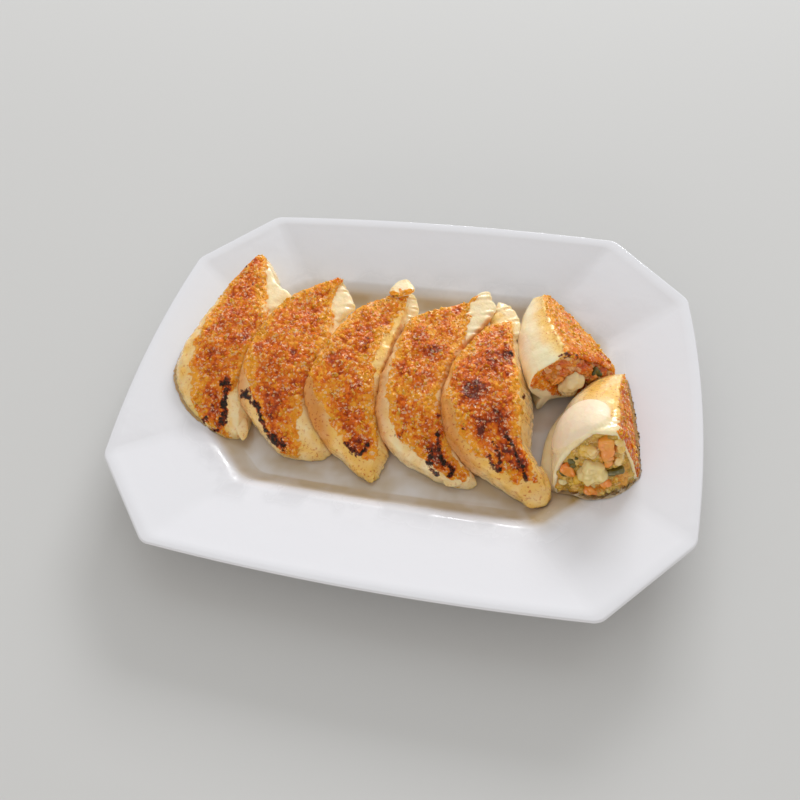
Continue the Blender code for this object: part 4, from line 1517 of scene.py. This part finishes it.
def half_outline(shape, share, skin):
    """The outline across a half, skin inside its outer surface, as X and Z in its own frame."""
    shrink = taper(share, FACE_TAPER)
    half_width = max(0.5 * shape.face_width * shrink - skin, 0.6)
    fin = FIN_LENGTH * shrink
    depth = max(shape.depth * taper(share, 0.50), TIP_THICKNESS)
    neck = -(depth - fin) + skin + shape.lip * skin / SKIN
    swell = (BELLY_SWELL - 0.5 * skin) * shrink
    crest_x = shape.crest_x * max(1.0 - share / shape.swing, 0.0) ** 2
    neck_width = NECK_HALF_WIDTH - 0.6 * skin
    right = bezier(((half_width, -skin), (half_width + 1.6 * swell, 0.40 * neck),
                    (crest_x + 1.4 * swell + neck_width, 0.80 * neck), (crest_x + neck_width, neck)),
                   HALF_SIDE_STEPS)
    left = bezier(((crest_x - neck_width, neck),
                   (crest_x - shape.left_swell * swell - neck_width, 0.90 * neck),
                   (-half_width - 1.8 * swell, 0.40 * neck), (-half_width, -skin)), HALF_SIDE_STEPS)
    tip = -depth if skin == 0.0 else neck - 0.1
    end_width = FIN_HALF_WIDTH if skin == 0.0 else neck_width
    end = bezier(((crest_x + neck_width, neck), (crest_x + end_width, tip),
                  (crest_x - end_width, tip), (crest_x - neck_width, neck)), HALF_END_STEPS)
    across = np.arange(HALF_FACE_STEPS) / HALF_FACE_STEPS
    crown = 0.9 * 4.0 * across * (1.0 - across) * shrink - skin
    face = np.column_stack([mix(-half_width, half_width, across), crown])
    return np.vstack([face, right, end, left])


def cut_bulge(shape, x, z):
    """How far the cut stands out, along -Y, at places on it: it sags low down and is a little wavy."""
    deep = np.clip(-z / shape.depth, 0.0, 1.0)
    lower = np.clip(2.0 * x / shape.face_width, 0.0, 1.0)
    flat = np.column_stack([x, z, np.zeros(len(x))])
    wave = shape.wave * perlin(flat, 7.0, 3.0)
    return shape.sag * (np.sin(math.pi * deep) * lower + 0.3 * deep * deep) + wave


def sag_at(shape, local):
    """Where the cut lies along Y beside points in a half's frame."""
    return -cut_bulge(shape, local[:, 0], local[:, 2])


def sagged(shape, flat, y):
    """Puts an outline in space, as bulging as the cut near it."""
    near = max(1.0 - 2.5 * y / shape.length, 0.0)
    return np.column_stack([flat[:, 0], y - cut_bulge(shape, flat[:, 0], flat[:, 1]) * near, flat[:, 1]])


def half_matrix(shape):
    turn = Euler([math.radians(angle) for angle in shape.turn])
    return np.array(Matrix.LocRotScale(Vector(shape.middle), turn, None))


def to_world(shape, points):
    matrix = half_matrix(shape)
    return points @ matrix[:3, :3].T + matrix[:3, 3]


def to_half(shape, points):
    matrix = half_matrix(shape)
    return (points - matrix[:3, 3]) @ matrix[:3, :3]


def skin_rings(shape):
    """The dough from the horn to the cut, over its rim and back into the hollow."""
    rings = []
    for station in range(HALF_STATIONS, -1, -1):
        share = HORN_END * math.sin(0.5 * math.pi * station / HALF_STATIONS)
        rings.append(sagged(shape, half_outline(shape, share, 0.0), share * shape.length))
    for degrees in (30, 60, 90, 120, 150):
        angle = math.radians(degrees)
        inward = SKIN * 0.5 * (1.0 - math.cos(angle))
        outward = -0.5 * SKIN * math.sin(angle)
        rings.append(sagged(shape, half_outline(shape, 0.0, inward + 0.001), outward))
    for step in range(HOLLOW_STEPS + 1):
        share = CUT_DEPTH_SHARE * step / HOLLOW_STEPS
        rings.append(sagged(shape, half_outline(shape, share, SKIN), share * shape.length))
    return np.array(rings)


def filling_rings(shape):
    """The chopped filling: a bulging front that reaches back into the dough."""
    rings = []
    outline = half_outline(shape, 0.0, SKIN + 0.1)
    centre = outline.mean(axis=0)
    for step in range(FILLING_STEPS + 1):
        share = max(step / FILLING_STEPS, 0.01)
        flat = centre + (outline - centre) * share
        bulge = -1.6 * (1.0 - share ** 4)
        rings.append(sagged(shape, flat, 0.0) + (0.0, bulge, 0.0))
    for step in range(1, FILLING_BACK_STEPS + 1):
        share = (CUT_DEPTH_SHARE - 0.01) * step / FILLING_BACK_STEPS
        rings.append(sagged(shape, half_outline(shape, share, SKIN + 0.1), share * shape.length))
    return np.array(rings)


def front_of_cut(shape, x, z):
    """How far along Y the filling's surface lies at a place on the cut."""
    return -cut_bulge(shape, np.array([x]), np.array([z]))[0] - 1.5


def turned_on_cut(points, degrees):
    """Turns points about the direction that the cut faces."""
    return points @ np.array(Matrix.Rotation(math.radians(degrees), 3, "Y")).T


def bit_rings(shape, bit):
    """A small piece of filling: a cut, boxy one, or a rounded one."""
    blunt = {"carrot": 0.5, "chive": 0.55, "cabbage": 0.7}.get(bit.kind, 0.9)
    rows, segments = 22, 36
    around = 2.0 * math.pi * np.arange(segments) / segments
    centre = (bit.x, front_of_cut(shape, bit.x, bit.z) - 0.08 * bit.size[1], bit.z)

    def softened(values):
        return np.sign(values) * np.abs(values) ** blunt

    rings = []
    for row in range(rows + 1):
        polar = math.pi * mix(0.02, 0.98, row / rows)
        side = softened(np.array(math.sin(polar)))
        flat = np.column_stack([
            side * softened(np.cos(around)),
            np.full(segments, -softened(np.array(math.cos(polar)))),
            side * softened(np.sin(around))])
        rings.append(turned_on_cut(flat * bit.size, bit.turn) + centre)
    return np.array(rings)


def chunk_rings(shape):
    """A bean-shaped piece of prawn that stands a little proud of the cut."""
    rings = []
    rows, segments = 48, 64
    size = np.array(shape.chunk_size)
    centre = np.array((shape.chunk[0], front_of_cut(shape, *shape.chunk) - 0.2 * size[1], shape.chunk[1]))
    around = 2.0 * math.pi * np.arange(segments) / segments
    dent = 1.0 - 0.18 * np.maximum(np.cos(around), 0.0) ** 2
    for row in range(rows + 1):
        polar = math.pi * mix(0.01, 0.99, row / rows)
        radius = math.sin(polar) ** 0.9 * dent
        flat = np.column_stack([
            size[0] * radius * np.cos(around),
            np.full(segments, -size[1] * math.cos(polar)),
            size[2] * radius * np.sin(around)])
        rings.append(turned_on_cut(flat, shape.chunk_turn) + centre)
    return np.array(rings)


def shaped_half_piece(name, shape, rings, relief):
    """A solid of a half, roughened by a function of its points and normals, set in place."""
    made = solid_from_rings(name, rings)
    points, normals = corners_of(made.data), normals_of(made.data)
    points += normals * relief(points)[:, None]
    points = to_world(shape, points)
    points[:, 2] = np.maximum(points[:, 2], plate_height(points) + CLEARANCE)
    set_corners(made.data, points)
    return made


def blister_reach(shape, local):
    """How far inside the taut patch on a half's side points lie: 1 in its middle, 0 at its edge."""
    y, z, half_y, half_z = shape.blister
    reach = 1.0 - ((local[:, 1] - y) / half_y) ** 2 - ((local[:, 2] - z) / half_z) ** 2
    return np.where(local[:, 0] < 2.0, reach, -1.0)


def paint_half(made, shape):
    """Stores where a half's dough is crusted, browned, burnt, soaked and taut."""
    mesh = made.data
    points, normals = corners_of(mesh), normals_of(mesh)
    local = to_half(shape, points)
    across, along, height = local.T
    facing = normals @ half_matrix(shape)[:3, :3]
    share = np.clip(along / shape.length, 0.0, 1.0)
    edge = 0.5 * shape.face_width * np.maximum(np.cos(0.5 * math.pi * share), 0.0) ** FACE_TAPER
    ragged = layered(points, (1.1, 3.0, 2.0), (0.6, 1.3, 4.0))
    depth = edge - np.abs(across) + ragged
    crust = smooth(-0.6, 0.8, depth) * smooth(0.3, 0.7, facing[:, 2]) * smooth(-4.0, -1.5, height)
    rim = smooth(1.0, 0.1, along - sag_at(shape, local)) * smooth(-19.5, -17.0, height + ragged)
    crust = np.maximum(crust, shape.rim_crust * rim * smooth(0.9, 0.2, np.abs(facing[:, 0])))
    tone = shape.tone + 0.3 * perlin(points, 5.0, 6.0) - 0.25 * smooth(4.0, 0.0, depth)
    tone += 0.12 * smooth(9.0, 4.0, along) * smooth(0.35, 0.0, share) + 0.05 * rim
    blister = blister_reach(shape, local)
    soak = 0.95 * smooth(-7.0, 0.0, height + 1.5 * perlin(points, 6.0, 3.0))
    soak += 0.3 * perlin(points, 4.0, 8.0)
    back = smooth(0.2, 0.5, share) * smooth(-16.0, -9.0, height)
    soak = np.maximum(soak, 0.95 * shape.blister_rise * back)
    ring = smooth(-0.9, -0.2, blister) * smooth(-22.0, -12.0, height)
    soak = np.maximum(soak, 0.35 * shape.blister_rise * ring)
    beside_cut = smooth(8.0, 3.0, along) * smooth(-14.0, -10.0, height)
    soak *= 1.0 - 0.75 * shape.blister_rise * beside_cut
    corner = rim * smooth(-6.0, -1.0, height) * smooth(-4.0, -9.0, across)
    taut = smooth(0.0, 0.12 + 0.6 * (1.0 - shape.blister_rise), blister)
    set_mask(mesh, "crust", crust)
    set_mask(mesh, "tone", tone)
    set_mask(mesh, "char", 0.6 * shape.rim_crust * corner)
    set_mask(mesh, "soak", soak * (1.0 - 0.95 * taut))
    set_mask(mesh, "taut", taut)


def dough_relief(shape, points, sizes):
    """Blisters on the browned face, folds down the sides and a taut swelling beside the cut."""
    crust = smooth(-1.0, 0.4, points[:, 2])
    blisters = crust_blisters(points, sizes, shape.tone * 40.0) * sizes.pebble_height / MM
    warp = 0.5 * perlin(points, 5.0, 1.0)
    folds = shape.folds * (perlin(points * (1.0, 1.0, 0.25), 4.4, 6.0) + perlin(points, 7.0, 2.0))
    inside = blister_reach(shape, points)
    rise = crust * (blisters + warp) + (1.0 - crust) * folds
    away = smooth(0.0, 2.0, points[:, 1] - sag_at(shape, points))
    swelling = shape.blister_rise * (0.7 * smooth(0.0, 0.05, inside) + 0.9 * np.maximum(inside, 0.0))
    return rise * (0.3 + 0.7 * away) + swelling * (0.4 + 0.6 * away)


def filling_relief(points):
    """Lumps of mince on the cut."""
    lumps = pebbled(points, 3.0, 2.0) + pebbled(points, 1.3, 5.0) * 0.6
    return 1.4 * lumps * smooth(3.0, 0.0, points[:, 1]) - 0.6


def bit_relief(points):
    """Lumps on a small piece of filling."""
    return layered(points, (0.35, 1.1, 4.0), (1.1, 2.4, 1.0))


def prawn_relief(points):
    """Lumps on a piece of prawn."""
    return layered(points, (1.3, 3.6, 8.0), (0.6, 1.7, 3.0))


def make_skins(sizes):
    """The dough of both halves, cut back where it meets the last whole gyoza and the other half."""
    skins = []
    for shape in HALVES:
        skin = shaped_half_piece(
            shape.name + "_dough", shape, skin_rings(shape),
            lambda points: dough_relief(shape, points, sizes))
        skins.append(carve(skin, bpy.data.objects["gyoza_5_dough"], "DIFFERENCE"))
    carve(*skins, "DIFFERENCE")
    return skins


def make_cut(shape):
    """The filling and the prawn that show on a half's cut."""
    filling = shaped_half_piece(shape.name + "_mince", shape, filling_rings(shape), filling_relief)
    set_mask(filling.data, "leafy", np.full(len(filling.data.vertices), 1.0 - shape.rim_crust))
    finish_piece(filling, material("mince"), "filling", shape.name + "_filling")
    chunk = shaped_half_piece(shape.name + "_prawn_piece", shape, chunk_rings(shape), prawn_relief)
    finish_piece(chunk, material("prawn_flesh"), "prawn", shape.name + "_prawn")


def add_bits(shape, bits):
    """Puts the small pieces of filling on a half's cut among the others of their kind."""
    for bit in shape.bits:
        piece = shaped_half_piece("bit", shape, bit_rings(shape, bit), bit_relief)
        bits.setdefault(bit.kind, []).append(piece)


def finish_bits(bits):
    """Makes one piece of all the bits of a kind."""
    for kind, pieces in bits.items():
        finish, slot = ("prawn_flesh", "prawn") if kind == "prawn" else (kind, "filling")
        finish_piece(joined(kind + "_bits", pieces), material(finish), slot)


class GYOZA_OT_halves(bpy.types.Operator):
    """Makes the two halves of the cut gyoza: dough, filling, prawn and bits"""

    bl_idname = "gyoza.halves"
    bl_label = "Cut gyoza"

    def execute(self, context):
        bits = {}
        for shape, skin in zip(HALVES, make_skins(context.scene.gyoza_sizes)):
            drop_specks(skin)
            paint_half(skin, shape)
            finish_piece(skin, material("fried_dough"), "steamed_dough", shape.name + "_skin")
            make_cut(shape)
            add_bits(shape, bits)
        finish_bits(bits)
        return {"FINISHED"}


# --- Stage --------------------------------------------------------------------------------------


def make_camera():
    azimuth, elevation = math.radians(CAMERA_AZIMUTH), math.radians(CAMERA_ELEVATION)
    level = math.cos(elevation)
    back = Vector((math.sin(azimuth) * level, -math.cos(azimuth) * level, math.sin(elevation)))
    turn = back.to_track_quat("Z", "Y").to_matrix() @ Matrix.Rotation(math.radians(CAMERA_ROLL), 3, "Z")
    camera = bpy.data.cameras.new("camera")
    camera.lens = LENS
    camera.sensor_width = SENSOR
    camera.clip_start = 0.01
    made = linked("camera", camera)
    made.matrix_world = Matrix.Translation(Vector(CAMERA_AIM) + back * CAMERA_DISTANCE) @ turn.to_4x4()
    bpy.context.scene.camera = made


def make_table():
    mesh = bpy.data.meshes.new("table")
    corners = [(x * TABLE_HALF, y * TABLE_HALF, 0.0) for x, y in ((-1, -1), (1, -1), (1, 1), (-1, 1))]
    mesh.from_pydata(corners, [], [(0, 1, 2, 3)])
    colour = (*colours().table, 1.0)
    mesh.materials.append(shader("table_top", {"Base Color": colour, "Roughness": 0.95})[0])
    made = linked("table", mesh)


def make_lamp(lamp, power):
    light = bpy.data.lights.new(lamp.name, "AREA")
    light.shape = "RECTANGLE"
    light.size, light.size_y = lamp.size
    light.energy = power
    light.color = lamp.colour
    made = linked(lamp.name, light)
    made.location = lamp.place
    made.rotation_euler = (-Vector(lamp.place)).to_track_quat("-Z", "Y").to_euler()


def make_room(strength):
    world = bpy.data.worlds.new("room")
    world.use_nodes = True
    background = world.node_tree.nodes["Background"]
    background.inputs["Color"].default_value = ROOM_COLOUR
    background.inputs["Strength"].default_value = strength
    bpy.context.scene.world = world


class GYOZA_OT_stage(bpy.types.Operator):
    """Makes the pale table, the soft lights and the camera"""

    bl_idname = "gyoza.stage"
    bl_label = "Stage"

    def execute(self, context):
        stage = context.scene.gyoza_stage
        make_table()
        make_camera()
        for lamp in LAMPS:
            make_lamp(lamp, getattr(stage, lamp.name))
        make_room(stage.room)
        context.scene.view_settings.view_transform = "Standard"
        return {"FINISHED"}


# --- Panel and registration ---------------------------------------------------------------------


class GYOZA_PT_panel(bpy.types.Panel):
    """Lists the pieces of the gyoza plate"""

    bl_idname = "GYOZA_PT_panel"
    bl_label = "Gyoza on a plate"
    bl_space_type = "VIEW_3D"
    bl_region_type = "UI"
    bl_category = "Gyoza"

    def draw(self, context):
        for operator in OPERATORS:
            self.layout.operator(operator.bl_idname)
        for name, group in GROUPS.items():
            for setting in group.__annotations__:
                self.layout.prop(getattr(context.scene, name), setting)


OPERATORS = (GYOZA_OT_plate, GYOZA_OT_wholes, GYOZA_OT_halves, GYOZA_OT_flakes, GYOZA_OT_stage)
GROUPS = {"gyoza_sizes": GyozaSizes, "gyoza_colours": GyozaColours, "gyoza_stage": GyozaStage}
CLASSES = (*GROUPS.values(), *OPERATORS, GYOZA_PT_panel)


def register():
    for made in CLASSES:
        bpy.utils.register_class(made)
    for name, group in GROUPS.items():
        setattr(bpy.types.Scene, name, bpy.props.PointerProperty(type=group))


def unregister():
    for name in GROUPS:
        delattr(bpy.types.Scene, name)
    for made in reversed(CLASSES):
        bpy.utils.unregister_class(made)


def main():
    register()
    bpy.ops.gyoza.plate()
    bpy.ops.gyoza.wholes()
    bpy.ops.gyoza.halves()
    bpy.ops.gyoza.flakes()
    bpy.ops.gyoza.stage()


if __name__ == "__main__":
    main()
